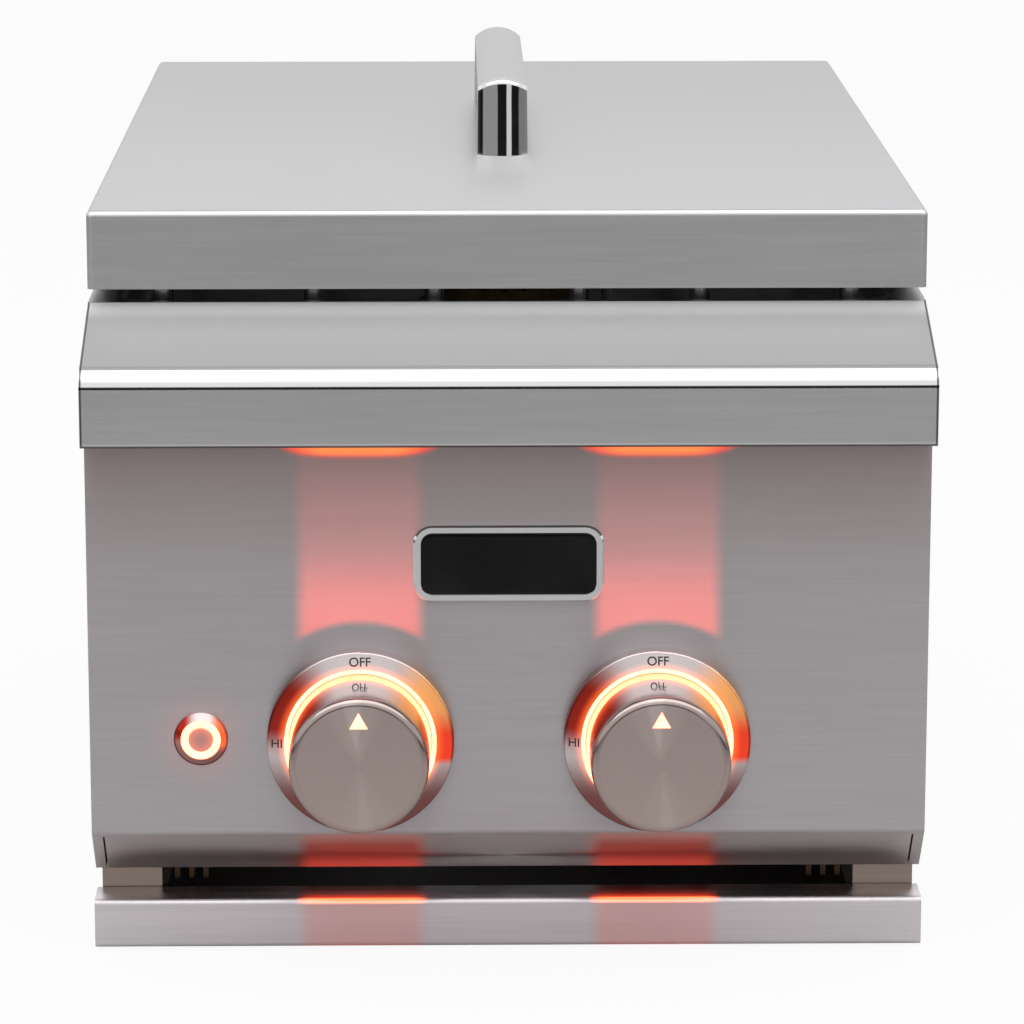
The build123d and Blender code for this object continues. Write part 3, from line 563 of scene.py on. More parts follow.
chrome = finish("chrome", chrome_build, Metallic=1.0)
dress(chrome, "handle_screws", "badge_plate")
dress(finish("handle_steel", handle_build, Metallic=1.0), "lid_handle")
print("handle polished at its ends")

# %% [markdown]
# The knobs, the dials and the switch are turned on a lathe, which leaves rings about the axis. Light that
# falls on such rings spreads along the radius and draws the bright wedges that turned metal shows. The
# rings are a noise that only changes with the distance from the axis. The wedges are painted highlights
# in the colour, worked out from the angle about the axis and brighter towards the top, and the rounded
# edge of the face is painted darker, a painted shade. Each knob needs its own axis, so the finish is made
# by a function.

# %% Turned metal
FACE_DARK = (0.435, 0.352, 0.33)
FACE_LIGHT = (0.465, 0.377, 0.35)
# Painted highlight: the bright wedge on the spun face.
WEDGE_PAINTED_HIGHLIGHT = (0.60, 0.51, 0.48)
# Painted shade: the darker rounded edge of the face.
KNOB_EDGE_PAINTED_SHADE = (0.20, 0.16, 0.15)
WALL_STEEL = (0.60, 0.55, 0.53)
rings_per_metre = 2200
wedge_lean = math.radians(6)
knob_rounding = 3.8 * MM


def turned_rings(place, away):
    sockets = {"W": away * rings_per_metre, "Scale": 1.0, "Detail": 2.0}
    return place.make("ShaderNodeTexNoise", {"noise_dimensions": "1D"}, sockets)


def knob_finish(side, axis):
    """A spun face with a bright wedge painted as a highlight and an edge painted darker as shade, and a
    polished wall.
    """
    low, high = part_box(f"{side}_knob_shell")
    face_edge = (high.x - low.x) / 2 - knob_rounding

    def build(place):
        away, across, up = around(place, axis)
        along = up * math.cos(wedge_lean) - across * math.sin(wedge_lean)
        double_cosine = (along * along * 2) / (away * away + MM * MM) - 1
        # painted highlight: a wedge by angle, brighter towards the top
        wedge = double_cosine.ramp(0.25, 1.0) * 0.3 + double_cosine.ramp(0.93, 1.0) * 0.5
        wedge = wedge * (0.5 + up.ramp(-12 * MM, 12 * MM) * 0.8)
        line = turned_rings(place, away)
        wall = away.ramp(face_edge + 2.6 * MM, face_edge + 3.4 * MM)
        edge = away.ramp(face_edge - 0.5 * MM, face_edge + 0.5 * MM)
        spun = wedge.tint(line.spread().tint(FACE_DARK, FACE_LIGHT), WEDGE_PAINTED_HIGHLIGHT)
        return {
            # painted shade on the edge, under the wall's steel
            "Base Color": wall.tint((edge * 0.25).tint(spun, KNOB_EDGE_PAINTED_SHADE), WALL_STEEL),
            "Roughness": 0.32 + (line - 0.5) * 0.08 - edge * 0.16 - wall * 0.08,
            "Normal": (line * (1 - edge)).bump(0.006 * MM),
        }

    return finish(f"{side}_knob_steel", build, Metallic=1.0)


def stem_build(place):
    line = turned_rings(place, place.split()[1])
    return {
        "Base Color": line.spread().tint(grey(0.48), grey(0.56)),
        "Roughness": 0.22 + line * 0.1,
        "Normal": line.bump(0.01 * MM),
    }


stem_steel = finish("stem_steel", stem_build, Metallic=1.0)
for side, axis in knob_axes.items():
    dress(knob_finish(side, axis), f"{side}_knob_shell")
    dress(stem_steel, f"{side}_valve_stem")
print("knobs turned")

# %% [markdown]
# A dial is a shallow cone round its lit ring. The light grazes it: orange at the ring, red on both
# flanks, almost none at the top, where the steel mirrors the room, and little at the foot. This light is
# painted, in the colour and as emission, and the foot is painted darker, a painted shade.

# %% Dials
DIAL_DARK = (0.72, 0.64, 0.64)
DIAL_LIGHT = (0.80, 0.72, 0.72)
# Painted shade: the dial's foot.
DIAL_FOOT_PAINTED_SHADE = (0.22, 0.09, 0.085)
# Painted red and gold light on the dial's flanks.
LEFT_FLANK_PAINTED_RED = (0.36, 0.010, 0.004)
RIGHT_FLANK_PAINTED_RED = (0.55, 0.035, 0.008)
GOLD_FLANK_PAINTED_LIGHT = (0.80, 0.40, 0.15)
DEEP_FLANK_PAINTED_RED = (0.10, 0.012, 0.008)
GOLD_GLOW = (0.95, 0.36, 0.09)
HALO_ORANGE = (0.95, 0.16, 0.03)


def dial_finish(side, axis):
    def build(place):
        away, across, up = around(place, axis)
        line = turned_rings(place, away)
        outward = away - ring_radius
        right = across.ramp(0, 20 * MM)
        end = up.ramp(-7 * MM, 7 * MM) * (1 - right) + up.ramp(-10 * MM, -6 * MM) * right
        flank = abs(across / away).ramp(0.35, 0.80) * end
        gold = right * up.ramp(3 * MM, 16 * MM)
        halo = outward.ramp(4.5 * MM, 0) * up.ramp(-26 * MM, -10 * MM)
        plain = line.spread().tint(DIAL_DARK, DIAL_LIGHT)
        # painted shade towards the foot
        plain = up.ramp(2 * MM, -24 * MM).tint(plain, DIAL_FOOT_PAINTED_SHADE)
        # painted red and gold light on the flanks
        warm = right.tint(LEFT_FLANK_PAINTED_RED, RIGHT_FLANK_PAINTED_RED)
        warm = gold.tint(warm, GOLD_FLANK_PAINTED_LIGHT)
        warm = ((1 - right) * outward.ramp(1.5 * MM, 6 * MM) * 0.6).tint(warm, DEEP_FLANK_PAINTED_RED)
        edge = outward.ramp(6.6 * MM, 6.0 * MM)
        red = flank * edge * (0.12 + outward.ramp(4 * MM, 0) * 0.2 + right * 0.35 - gold * 0.4)
        glow = (gold * flank * edge * 0.35).tint(red.tint(BLACK, LAMP_RED), GOLD_GLOW)
        return {
            "Base Color": (flank * 0.98).tint(plain, warm),
            "Roughness": 0.20 + line * 0.08,
            "Normal": line.bump(0.008 * MM),
            "Emission Color": (halo * halo * 0.75).tint(glow, HALO_ORANGE),
        }

    return finish(f"{side}_dial_steel", build, Metallic=1.0, Emission_Strength=1.0)


for side, axis in knob_axes.items():
    dress(dial_finish(side, axis), f"{side}_bezel")
print("dials", round(2 * bezel_radius / MM, 1), "mm across")

# %% [markdown]
# The push switch is a small copy of the same idea: a turned flange, a lit ring and a cap. Its light,
# painted in the colour and as emission, reddens the flange on both sides, the cap and the edge of the
# cap. The flange's foot and its rim, except at the top, are painted darker, a painted shade.

# %% Switch
FLANGE_DARK = (0.74, 0.66, 0.65)
FLANGE_LIGHT = (0.82, 0.74, 0.73)
# Painted shade at the flange's foot and rim, painted red light on its flanks and the cap.
FLANGE_FOOT_PAINTED_SHADE = (0.30, 0.18, 0.17)
FLANGE_LEFT_PAINTED_RED = (0.40, 0.008, 0.004)
FLANGE_RIGHT_PAINTED_ORANGE = (0.55, 0.10, 0.02)
SWITCH_RIM_PAINTED_SHADE = (0.16, 0.06, 0.05)
CAP_PAINTED_RED_LIGHT = (0.56, 0.33, 0.31)
SWITCH_RED = (1.0, 0.14, 0.045)
switch_ring_inner = 5.4 * MM
switch_radius = (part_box("switch_housing")[1].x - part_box("switch_housing")[0].x) / 2


def switch_build(place):
    away, across, up = around(place, switch_axis)
    line = turned_rings(place, away)
    cap = away.ramp(switch_ring_inner, switch_ring_inner - 0.3 * MM)
    rim = away.ramp(switch_radius - 0.9 * MM, switch_radius - 0.5 * MM)
    left = across.ramp(-1 * MM, -7 * MM) * up.ramp(-4 * MM, 2 * MM)
    right = across.ramp(3 * MM, 8 * MM) * up.ramp(-6 * MM, -1 * MM)
    plain = line.spread().tint(FLANGE_DARK, FLANGE_LIGHT)
    # painted shade towards the foot
    plain = up.ramp(4 * MM, -4 * MM).tint(plain, FLANGE_FOOT_PAINTED_SHADE)
    # painted red and orange light on the flanks
    flange = (left * 0.99).tint(plain, FLANGE_LEFT_PAINTED_RED)
    flange = (right * 0.95).tint(flange, FLANGE_RIGHT_PAINTED_ORANGE)
    # painted shade on the rim, except at its top
    flange = (rim * up.ramp(11 * MM, 3 * MM)).tint(flange, SWITCH_RIM_PAINTED_SHADE)
    rim_glow = (left * 0.06 + right * 0.75 + 0.03) * (1 - cap) * (1 - rim * 0.7)
    cap_glow = cap * (0.15 + away.ramp(1 * MM, 5 * MM) * 0.35)
    return {
        # painted red light on the cap
        "Base Color": cap.tint(flange, CAP_PAINTED_RED_LIGHT),
        "Roughness": 0.14 + cap * 0.16 + (line - 0.5) * 0.06,
        "Normal": (line * cap).bump(0.012 * MM),
        "Emission Color": (rim_glow + cap_glow).tint(BLACK, SWITCH_RED),
    }


switch_steel = finish("switch_steel", switch_build, Metallic=1.0, Emission_Strength=1.0)
dress(switch_steel, "switch_housing", "switch_cap")
print("switch", round(2 * switch_radius / MM, 1), "mm across")

# %% [markdown]
# The rings and the pointer windows are clear plastic that carries light from small lamps behind. Only
# their own glow matters: the strength is far above white, so that the core turns yellow-white while its
# reflections in the metal stay orange. A slow noise keeps the glow from looking printed.

# %% Lit windows
LENS_DARK = (0.8, 0.36, 0.16)
LENS_LIGHT = (0.9, 0.5, 0.25)
GLOW_DEEP = (1.0, 0.115, 0.058)
GLOW_PALE = (1.0, 0.14, 0.075)
lens_strength = 10.0


def lens_build(place):
    flicker = place.noise((160, 160, 160))
    return {
        "Base Color": flicker.tint(LENS_DARK, LENS_LIGHT),
        "Roughness": 0.25 + flicker * 0.1,
        "Emission Color": flicker.ramp(0.25, 0.75).tint(GLOW_DEEP, GLOW_PALE),
    }


lit_lens = finish("lit_lens", lens_build, Emission_Strength=lens_strength)
dress(lit_lens, "switch_light_ring")
for side in SIDES:
    dress(lit_lens, f"{side}_light_ring", f"{side}_pointer_lens")
print("rings and pointers lit")

# %% [markdown]
# Valves, jets and burners are brass; the manifold is zinc-plated pipe. Brass is warm and uneven, darker
# where it was cast and brighter where it was turned. The burners have darkened in the flame.

# %% Brass and pipe
cast_tooth = 0.03 * MM


def cast_metal(name, dark, light, roughness, scale):
    def build(place):
        cloud = place.noise((scale, scale, scale), detail=4.0)
        tooth = place.noise((1800, 1800, 1800))
        return {
            "Base Color": cloud.spread().tint(dark, light),
            "Roughness": roughness + (cloud - 0.5) * 0.2,
            "Normal": (tooth * 0.7 + cloud * 0.3).bump(cast_tooth),
        }

    return finish(name, build, Metallic=1.0)


brass = cast_metal("brass", (0.50, 0.35, 0.14), (0.68, 0.50, 0.22), 0.32, 60)
burnt_brass = cast_metal("burnt_brass", (0.13, 0.09, 0.05), (0.24, 0.165, 0.075), 0.42, 70)
pipe = cast_metal("pipe", (0.30, 0.30, 0.31), (0.42, 0.42, 0.43), 0.42, 90)
dress(brass, "gas_inlet_fitting")
dress(pipe, "gas_manifold", "manifold_plugs", "gas_supply_tube", "switch_nut")
for side in SIDES:
    dress(brass, f"{side}_valve_body", f"{side}_injector", f"{side}_thrust_collar")
for burner in BURNERS:
    dress(burnt_brass, f"{burner}_burner_head", f"{burner}_burner_cap")
print("valves, burners and pipes dressed")

# %% [markdown]
# What is left is not metal: black mouldings, white circuit boards, glazed igniters and rubber. Each has a
# fine texture of its own, and a slow noise in its colour and gloss.

# %% Plastics, ceramic and rubber
def solid(name, dark, light, roughness, tooth_scale, tooth, **constants):
    def build(place):
        cloud = place.noise((50, 50, 50), detail=4.0)
        return {
            "Base Color": cloud.spread().tint(dark, light),
            "Roughness": roughness + (cloud - 0.5) * 0.14,
            "Normal": place.noise((tooth_scale, tooth_scale, tooth_scale)).bump(tooth),
        }

    return finish(name, build, **constants)


moulding = solid("moulding", grey(0.018), grey(0.03), 0.55, 1600, 0.04 * MM)
board = solid("board", (0.62, 0.64, 0.60), (0.72, 0.73, 0.70), 0.45, 700, 0.02 * MM)
ceramic = solid("ceramic", (0.72, 0.69, 0.63), (0.82, 0.80, 0.75), 0.18, 300, 0.02 * MM, Coat_Weight=0.3)
rubber = solid("rubber", grey(0.012), grey(0.022), 0.75, 2200, 0.05 * MM)
dress(rubber, "lid_pads", "power_gland")
for side in SIDES:
    dress(moulding, f"{side}_knob_hub")
    dress(board, f"{side}_light_board")
for burner in BURNERS:
    dress(ceramic, f"{burner}_igniter")
print("plastics, ceramic and rubber dressed")

# %% [markdown]
# Each dial has its words printed in black: off at the top, high to the left and low below. A text object
# gives the letters. It is turned into a mesh first and then moved, so that the finished piece sits at the
# origin like every other piece. The dial is a cone, so each point of a letter is laid back on its slope.

# %% Printed dials
letter_height = 3.6 * MM
letter_share = 0.7
letter_weight = 0.06 * MM
print_thickness = 0.05 * MM
word_radius = 34.2 * MM
dial_drop = 1.6 * MM
dial_words = (("OFF", 90), ("HI", 180), ("LO", 270))


def plain_mesh(source):
    """The evaluated object as a mesh with no modifiers."""
    bpy.context.view_layer.update()
    return bpy.data.meshes.new_from_object(source.evaluated_get(bpy.context.evaluated_depsgraph_get()))


def word_mesh(word):
    """The letters of a word; a capital fills a share of the font's size."""
    curve = bpy.data.curves.new(word, "FONT")
    curve.body = word
    curve.size = letter_height / letter_share
    curve.align_x = "CENTER"
    curve.align_y = "CENTER"
    curve.extrude = print_thickness
    curve.offset = letter_weight
    text = bpy.data.objects.new(word, curve)
    bpy.context.scene.collection.objects.link(text)
    mesh = plain_mesh(text)
    bpy.data.objects.remove(text)
    return mesh


def add_piece(name, mesh, material, body):
    """A finished mesh becomes a piece that rides on a body."""
    mesh.name = name
    mesh.materials.clear()
    mesh.materials.append(material)
    piece = bpy.data.objects.new(name, mesh)
    bpy.context.scene.collection.objects.link(piece)
    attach(piece, body)
    print(name, "with", len(mesh.polygons), "faces rides on", body)


def join(meshes):
    """One mesh from several."""
    whole = bmesh.new()
    for mesh in meshes:
        whole.from_mesh(mesh)
        bpy.data.meshes.remove(mesh)
    made = bpy.data.meshes.new("joined")
    whole.to_mesh(made)
    whole.free()
    return made


dial_fall = dial_drop / (bezel_radius - ring_radius)
upright = Matrix.Rotation(math.pi / 2, 4, "X")
for side, axis in knob_axes.items():
    words = []
    for word, angle in dial_words:
        mesh = word_mesh(word)
        turn = math.radians(angle)
        spot = Vector((axis.x + word_radius * math.cos(turn), bezel_low.y,
                       axis.z + word_radius * math.sin(turn)))
        mesh.transform(Matrix.Translation(spot) @ upright)
        for vertex in mesh.vertices:
            away = math.hypot(vertex.co.x - axis.x, vertex.co.z - axis.z)
            vertex.co.y += dial_fall * (away - ring_radius)
        words.append(mesh)
    add_piece(f"{side}_dial_words", join(words), moulding, "chassis")
print("words", [word for word, _ in dial_words], "on each dial")

# %% [markdown]
# The badge's place holds a bare plate: a polished rim with a dark enamel inlay. The inlay is a rounded
# slab with a slight crown, so that its gloss bends at the edge as poured enamel does.

# %% Badge inlay
badge_low, badge_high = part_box("badge_plate")
badge_rim = 3.0 * MM
badge_corner = 5.0 * MM
inlay_clearance = 0.15 * MM
inlay_floor = badge_low.y + 0.8 * MM
inlay_front = badge_low.y + 0.35 * MM
inlay_corner = badge_corner - inlay_clearance
crown = 0.25 * MM
crown_steps = ((0.0, 0.0), (0.4 * MM, 0.6), (1.4 * MM, 1.0))
ENAMEL_DARK = (0.006, 0.005, 0.006)
ENAMEL_LIGHT = (0.012, 0.010, 0.011)


def rounded_outline(half_x, half_z, corner, steps=8):
    """Points round a rectangle with round corners, in X and Z."""
    points = []
    for quarter, (sx, sz) in enumerate(((1, 1), (-1, 1), (-1, -1), (1, -1))):
        for step in range(steps + 1):
            turn = math.pi / 2 * (quarter + step / steps)
            points.append((sx * (half_x - corner) + corner * math.cos(turn),
                           sz * (half_z - corner) + corner * math.sin(turn)))
    return points


def slab(centre, layers):
    """A closed slab from stacked outlines: (depth, half width, half height, corner) from back to front."""
    shape = bmesh.new()
    loops = []
    for y, half_x, half_z, corner in layers:
        outline = rounded_outline(half_x, half_z, corner)
        loops.append([shape.verts.new((centre.x + px, y, centre.z + pz)) for px, pz in outline])
    for low, high in zip(loops, loops[1:]):
        for i in range(len(low)):
            j = (i + 1) % len(low)
            shape.faces.new((low[i], low[j], high[j], high[i]))
    shape.faces.new(loops[0])
    shape.faces.new(list(reversed(loops[-1])))
    bmesh.ops.recalc_face_normals(shape, faces=shape.faces)
    mesh = bpy.data.meshes.new("slab")
    shape.to_mesh(mesh)
    shape.free()
    return mesh


def enamel_build(place):
    cloud = place.noise((40, 40, 40), detail=4.0)
    return {
        "Base Color": cloud.spread().tint(ENAMEL_DARK, ENAMEL_LIGHT),
        "Roughness": 0.08 + cloud * 0.08,
        "Normal": cloud.bump(0.02 * MM),
    }


enamel = finish("enamel", enamel_build, Specular_IOR_Level=0.15)
half_x = (badge_high.x - badge_low.x) / 2 - badge_rim - inlay_clearance
half_z = (badge_high.z - badge_low.z) / 2 - badge_rim - inlay_clearance
inlay_layers = [(inlay_floor, half_x, half_z, inlay_corner)]
for inset, rise in crown_steps:
    inlay_layers.append((inlay_front - crown * rise, half_x - inset, half_z - inset, inlay_corner - inset))
inlay = slab(middle("badge_plate"), inlay_layers)
add_piece("badge_inlay", inlay, enamel, "chassis")
print("inlay", round(2 * half_x / MM, 1), "x", round(2 * half_z / MM, 1), "mm")

# %% [markdown]
# Three details repeat or follow a path: the casing's screws, the inlet's thread and the grates' welds.
# Each is a Geometry Nodes tree. These helpers start a tree with named inputs, end it, and run it to a
# plain mesh, because the export drops instances.

# %% Geometry Nodes helpers
def new_tree(name, sizes):
    """An empty Geometry Nodes tree with named sizes and a material as inputs."""
    tree = bpy.data.node_groups.new(name, "GeometryNodeTree")
    tree.interface.new_socket("Geometry", in_out="OUTPUT", socket_type="NodeSocketGeometry")
    kinds = {"Geometry": "NodeSocketGeometry"}
    kinds.update({size: "NodeSocketFloat" for size in sizes})
    kinds["Material"] = "NodeSocketMaterial"
    keys = {}
    for label, kind in kinds.items():
        keys[label] = tree.interface.new_socket(label, in_out="INPUT", socket_type=kind).identifier
    start = tree.nodes.new("NodeGroupInput")
    inputs = {label: Wire(tree, start.outputs[label]) for label in kinds}
    return tree, inputs, keys


def close_tree(tree, inputs, shape):
    """Realizes the instances, sets the material and ends the tree."""
    real = shape.make("GeometryNodeRealizeInstances", None, {"Geometry": shape})
    sockets = {"Geometry": real, "Material": inputs["Material"]}
    dressed = real.make("GeometryNodeSetMaterial", None, sockets)
    end = tree.nodes.new("NodeGroupOutput")
    tree.links.new(dressed.socket, end.inputs["Geometry"])


def grow(name, tree, keys, start_mesh, values):
    """Runs a tree on a mesh and returns the result as a plain mesh."""
    carrier = bpy.data.objects.new(name, start_mesh)
    bpy.context.scene.collection.objects.link(carrier)
    modifier = carrier.modifiers.new(name, "NODES")
    modifier.node_group = tree
    for key, value in values.items():
        modifier[keys[key]] = value
    mesh = plain_mesh(carrier)
    carrier.modifiers.clear()
    bpy.data.objects.remove(carrier)
    return mesh


def points_mesh(name, places):
    """A mesh of loose points, each with the direction that it faces."""
    mesh = bpy.data.meshes.new(name)
    mesh.from_pydata([tuple(spot) for spot, _ in places], [], [])
    facing = mesh.attributes.new("facing", "FLOAT_VECTOR", "POINT")
    for item, (_, out) in zip(facing.data, places):
        item.vector = out
    return mesh


print("tree helpers ready")

# %% [markdown]
# The casing is screwed together. A screw head is one small shape at many places: the input mesh has one
# point for each screw and an attribute for the way it faces. The head is a cone frustum with a sunk
# drive, and its sizes are inputs of the tree.

# %% Screws by Geometry Nodes
head_radius = 3.4 * MM
head_height = 1.9 * MM
head_sides = 18
top_share = 0.72
drive_share = 0.6
drive_depth = 0.6


def screw_tree():
    tree, inputs, keys = new_tree("screws", ("Head Radius", "Head Height"))
    radius, height = inputs["Head Radius"], inputs["Head Height"]
    cone = radius.make("GeometryNodeMeshCone", None, {
        "Vertices": head_sides, "Radius Top": radius * top_share, "Radius Bottom": radius, "Depth": height})
    top = Wire(tree, cone.socket.node.outputs["Top"])
    rim = cone.make("GeometryNodeExtrudeMesh", {"mode": "FACES"}, {
        "Mesh": cone, "Selection": top, "Offset Scale": 0.0})
    rim_top = Wire(tree, rim.socket.node.outputs["Top"])
    drive = rim.make("GeometryNodeScaleElements", {"domain": "FACE"}, {
        "Geometry": rim, "Selection": rim_top, "Scale": drive_share})
    sunk = drive.make("GeometryNodeExtrudeMesh", {"mode": "FACES"}, {
        "Mesh": drive, "Selection": rim_top, "Offset Scale": height * -drive_depth})
    facing = sunk.make("GeometryNodeInputNamedAttribute", {"data_type": "FLOAT_VECTOR"}, {
        "Name": "facing"})
    turn = facing.make("FunctionNodeAlignRotationToVector", {"axis": "Z"}, {"Vector": facing})
    heads = sunk.make("GeometryNodeInstanceOnPoints", None, {
        "Points": inputs["Geometry"], "Instance": sunk, "Rotation": turn})
    close_tree(tree, inputs, heads)
    return tree, keys


screws, screw_keys = screw_tree()
side_low, side_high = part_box("right_side_panel")
rear_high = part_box("rear_panel")[1]
front_inset = 12 * MM
screw_inset = 9 * MM
side_columns = (side_low.y + front_inset, side_high.y - screw_inset)
rear_column = rear_high.x - screw_inset
screw_rows = (35 * MM, 100 * MM, 165 * MM, 225 * MM)
edge_columns = (-80 * MM, 0, 80 * MM)
edge_rows = (12 * MM, 225 * MM)
BACKWARD = Vector((0, 1, 0))
screw_places = []
for z in screw_rows:
    for y in side_columns:
        for out in (1, -1):
            screw_places.append((Vector((out * side_high.x, y, z)), Vector((out, 0, 0))))
    for x in (-rear_column, rear_column):
        screw_places.append((Vector((x, rear_high.y, z)), BACKWARD))
for x in edge_columns:
    for z in edge_rows:
        screw_places.append((Vector((x, rear_high.y, z)), BACKWARD))
mesh = grow("casing_screws", screws, screw_keys, points_mesh("screw_points", screw_places),
            {"Head Radius": head_radius, "Head Height": head_height, "Material": chrome})
add_piece("casing_screws", mesh, chrome, "chassis")
print(len(screw_places), "screws")

# %% [markdown]
# The gas inlet has a male thread. A thread is a ridge that follows a helix, so the tree sweeps a small
# profile along a spiral curve and lays it on the stub.

# %% Thread by Geometry Nodes
def thread_tree():
    tree, inputs, keys = new_tree("thread", ("Radius", "Length", "Ridge", "Turns"))
    spiral = inputs["Radius"].make("GeometryNodeCurveSpiral", None, {
        "Resolution": 28, "Rotations": inputs["Turns"], "Start Radius": inputs["Radius"],
        "End Radius": inputs["Radius"], "Height": inputs["Length"]})
    profile = spiral.make("GeometryNodeCurvePrimitiveCircle", {"mode": "RADIUS"}, {
        "Resolution": 5, "Radius": inputs["Ridge"]})
    ridge = spiral.make("GeometryNodeCurveToMesh", None, {
        "Curve": spiral, "Profile Curve": profile, "Fill Caps": True})
    close_tree(tree, inputs, ridge)
    return tree, keys


thread, thread_keys = thread_tree()
inlet = middle("gas_inlet_fitting")
inlet_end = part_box("gas_inlet_fitting")[1].y
pin_radius = 7.94 * MM
pin_length = 16 * MM
thread_sink = 0.25 * MM
thread_ridge = 0.5 * MM
thread_start = 1 * MM
thread_length = pin_length - 3 * MM
thread_turns = 11.0
mesh = grow("inlet_thread", thread, thread_keys, bpy.data.meshes.new("thread_start"), {
    "Radius": pin_radius - thread_sink, "Length": thread_length, "Ridge": thread_ridge,
    "Turns": thread_turns, "Material": brass})
start = Vector((inlet.x, inlet_end - pin_length + thread_start, inlet.z))
mesh.transform(Matrix.Translation(start) @ Matrix.Rotation(-math.pi / 2, 4, "X"))
add_piece("inlet_thread", mesh, brass, "chassis")
print("thread of", int(thread_turns), "turns")

# %% [markdown]
# The grates are rods welded where they cross. Each weld is a small flattened bead, a little different
# every time. The tree scatters beads on the crossing points with a fixed seed.

# %% Weld beads by Geometry Nodes
bead_radius = 2.4 * MM
smallest_bead = (0.75, 0.9, 0.45)
largest_bead = (1.1, 1.35, 0.65)
bead_seed = 7


def bead_tree():
    tree, inputs, keys = new_tree("weld_beads", ("Bead Radius",))
    bead = inputs["Bead Radius"].make("GeometryNodeMeshIcoSphere", None, {
        "Radius": inputs["Bead Radius"], "Subdivisions": 2})
    size = bead.make("FunctionNodeRandomValue", {"data_type": "FLOAT_VECTOR"}, {
        0: smallest_bead, 1: largest_bead, "Seed": bead_seed})
    beads = bead.make("GeometryNodeInstanceOnPoints", None, {
        "Points": inputs["Geometry"], "Instance": bead, "Scale": size})
    close_tree(tree, inputs, beads)
    return tree, keys


beads, bead_keys = bead_tree()
rod_radius = 4 * MM
outer_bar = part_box("front_grate")[1].x - rod_radius
bar_offsets = (30 * MM, 80 * MM, outer_bar)
tie_offset = 70 * MM
bead_step = 3.2 * MM
bead_drop = 7.4 * MM
UPWARD = Vector((0, 0, 1))
bead_offsets = [bar + step for bar in bar_offsets for step in (-bead_step, bead_step)]
inner_offsets = [offset for offset in bead_offsets if offset < outer_bar]
crossings = []
for burner in BURNERS:
    grate_middle = middle(f"{burner}_grate")
    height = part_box(f"{burner}_grate")[1].z - bead_drop
    for x, tie, side in itertools.product(inner_offsets, (-tie_offset, tie_offset), (-1, 1)):
        crossings.append((Vector((side * x, grate_middle.y + tie, height)), UPWARD))
mesh = grow("grate_welds", beads, bead_keys, points_mesh("weld_points", crossings),
            {"Bead Radius": bead_radius, "Material": rod_steel})
add_piece("grate_welds", mesh, rod_steel, "chassis")
print(len(crossings), "weld beads, outer bars at", round(outer_bar / MM, 1), "mm")

# %% [markdown]
# A plain white studio. The floor is pale to the camera and takes the burner's shadow. Metal shows its
# surroundings, so what it mirrors matters more than the lamps: the table is pale near the burner, and the
# room beyond it is dark, with a pale strip right of the middle and grey at both sides, as between the
# black flags that photographers set up.

# %% Floor
table_level = 0.72
table_fall = 0.18
floor_level = 0.86
white_share = 0.92
floor_half = 6.0
floor_drop = 0.2 * MM


def flags(x, y):
    """How bright the room is along a bearing: dark, with a pale strip and grey at both sides."""
    bearing = x / (0 - y)
    strip = bearing.ramp(0.22, 0.26) * bearing.ramp(0.58, 0.53)
    left = bearing.ramp(-0.25, -0.30) * bearing.ramp(-2.4, -2.0)
    right = bearing.ramp(1.3, 1.5)
    return 0.01 + strip * 0.69 + left * 0.30 + right * 0.21


def floor_finish():
    material = bpy.data.materials.new("floor")
    material.use_nodes = True
    tree = material.node_tree
    tree.nodes.clear()
    camera_ray = Wire(tree, tree.nodes.new("ShaderNodeLightPath").outputs["Is Camera Ray"])
    place = Wire(tree, tree.nodes.new("ShaderNodeTexCoord").outputs["Object"])
    x, y, _ = place.split()
    out = (x * x + y * y).root()
    far = out.ramp(1.9, 2.3)
    table = table_level - out.ramp(0.45, 0.90) * table_fall
    mirrored = table * (1 - far) + flags(x, y) * far
    shade = mirrored * (1 - camera_ray) + camera_ray * (floor_level + place.noise((3, 3, 3)) * 0.02)
    pale = shade.make("ShaderNodeBsdfDiffuse", None, {"Color": shade})
    white = shade.make("ShaderNodeEmission", None, {"Color": (1, 1, 1, 1), "Strength": 1.0})
    mixed = shade.make("ShaderNodeMixShader", None, {0: camera_ray * white_share, 1: pale, 2: white})
    end = tree.nodes.new("ShaderNodeOutputMaterial")
    tree.links.new(mixed.socket, end.inputs["Surface"])
    return material


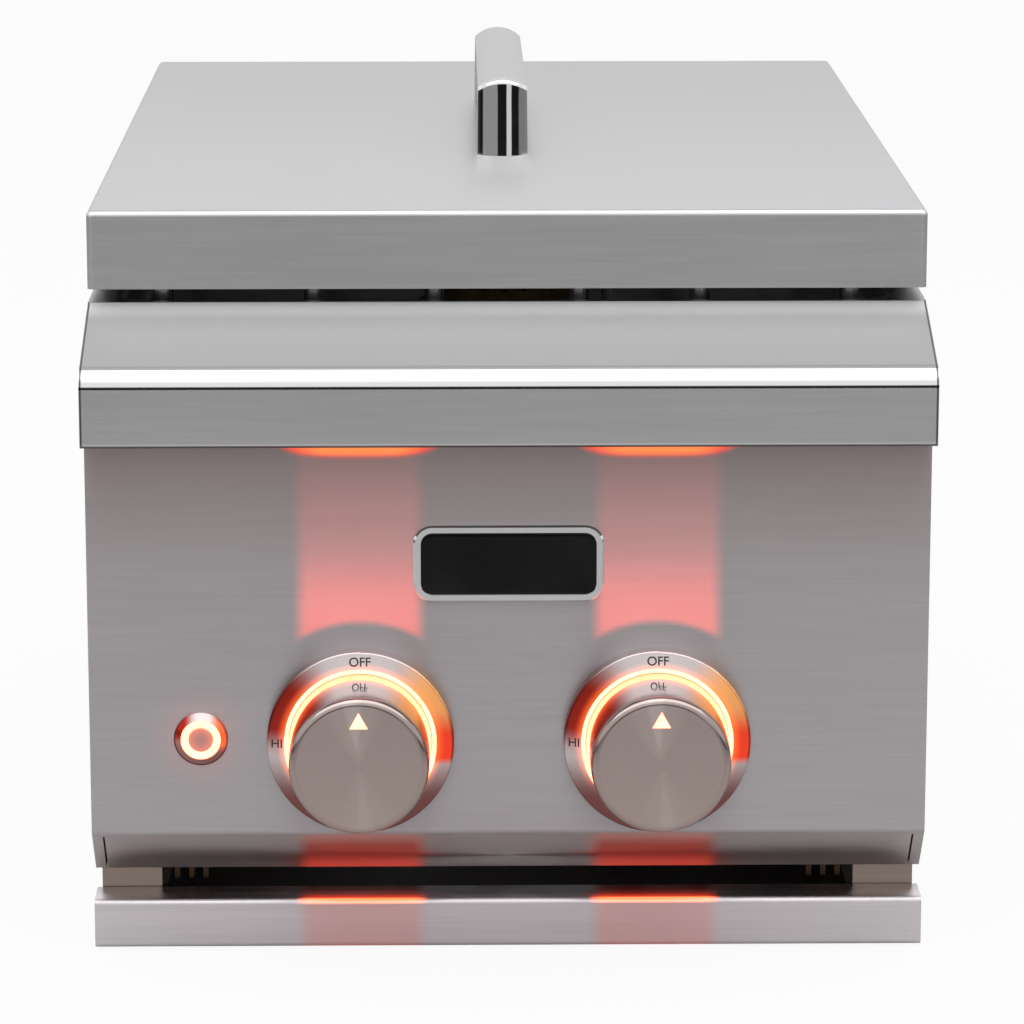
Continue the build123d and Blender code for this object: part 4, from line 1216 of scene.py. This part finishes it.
floor_corners = [(x * floor_half, y * floor_half, 0) for x, y in ((-1, -1), (1, -1), (1, 1), (-1, 1))]
floor_mesh = bpy.data.meshes.new("floor")
floor_mesh.from_pydata(floor_corners, [], [(0, 1, 2, 3)])
floor_mesh.materials.append(floor_finish())
floor = bpy.data.objects.new("floor", floor_mesh)
floor.location.z = cad_low.z - floor_drop
bpy.context.scene.collection.objects.link(floor)
print("floor", 2 * floor_half, "m wide")

# %% [markdown]
# The camera sees a white backdrop. Reflections see a room: the backdrop, greyer low down and high up, and
# behind the camera a wall that is pale above and has the floor's flags near the horizon. One very wide
# soft box hangs overhead. It gives the bright lines along every bend, and its size keeps the lid from
# clipping.

# %% Studio light
fill_level = 0.62
wall_level = 0.94
box_place = Vector((0, -0.35, 1.7))
box_aim = Vector((0, 0, 0.25))
box_size = (3.8, 1.9)
box_watts = 24


def studio_world():
    world = bpy.data.worlds.new("studio")
    bpy.context.scene.world = world
    world.use_nodes = True
    tree = world.node_tree
    tree.nodes.clear()
    path = tree.nodes.new("ShaderNodeLightPath")
    seen = Wire(tree, path.outputs["Is Camera Ray"]) + Wire(tree, path.outputs["Is Transmission Ray"])
    shiny = Wire(tree, path.outputs["Is Glossy Ray"])
    way = Wire(tree, tree.nodes.new("ShaderNodeTexCoord").outputs["Generated"])
    x, y, z = way.split()
    front = y.ramp(0.20, -0.30)
    pale = z.ramp(0.05, 0.13)
    wall = flags(x, y) * (1 - pale) + pale * wall_level + z.ramp(0.45, 0.65) * 0.35
    backdrop = 0.45 + z.ramp(-0.05, 0.30) * 0.60 - z.ramp(0.45, 0.75) * 0.55
    room = backdrop * (1 - front) + wall * front
    level = seen + shiny * room + (1 - seen) * (1 - shiny) * fill_level
    sky = level.make("ShaderNodeBackground", None, {"Color": (1, 1, 1, 1), "Strength": level})
    end = tree.nodes.new("ShaderNodeOutputWorld")
    tree.links.new(sky.socket, end.inputs["Surface"])


studio_world()
lamp = bpy.data.lights.new("overhead", "AREA")
lamp.shape = "RECTANGLE"
lamp.size, lamp.size_y = box_size
lamp.energy = box_watts
soft_box = bpy.data.objects.new("overhead", lamp)
soft_box.location = box_place
soft_box.rotation_euler = (box_aim - box_place).to_track_quat("-Z", "Y").to_euler()
bpy.context.scene.collection.objects.link(soft_box)
bpy.context.scene.view_settings.view_transform = "Standard"
print("soft box", box_size, "m,", box_watts, "W")
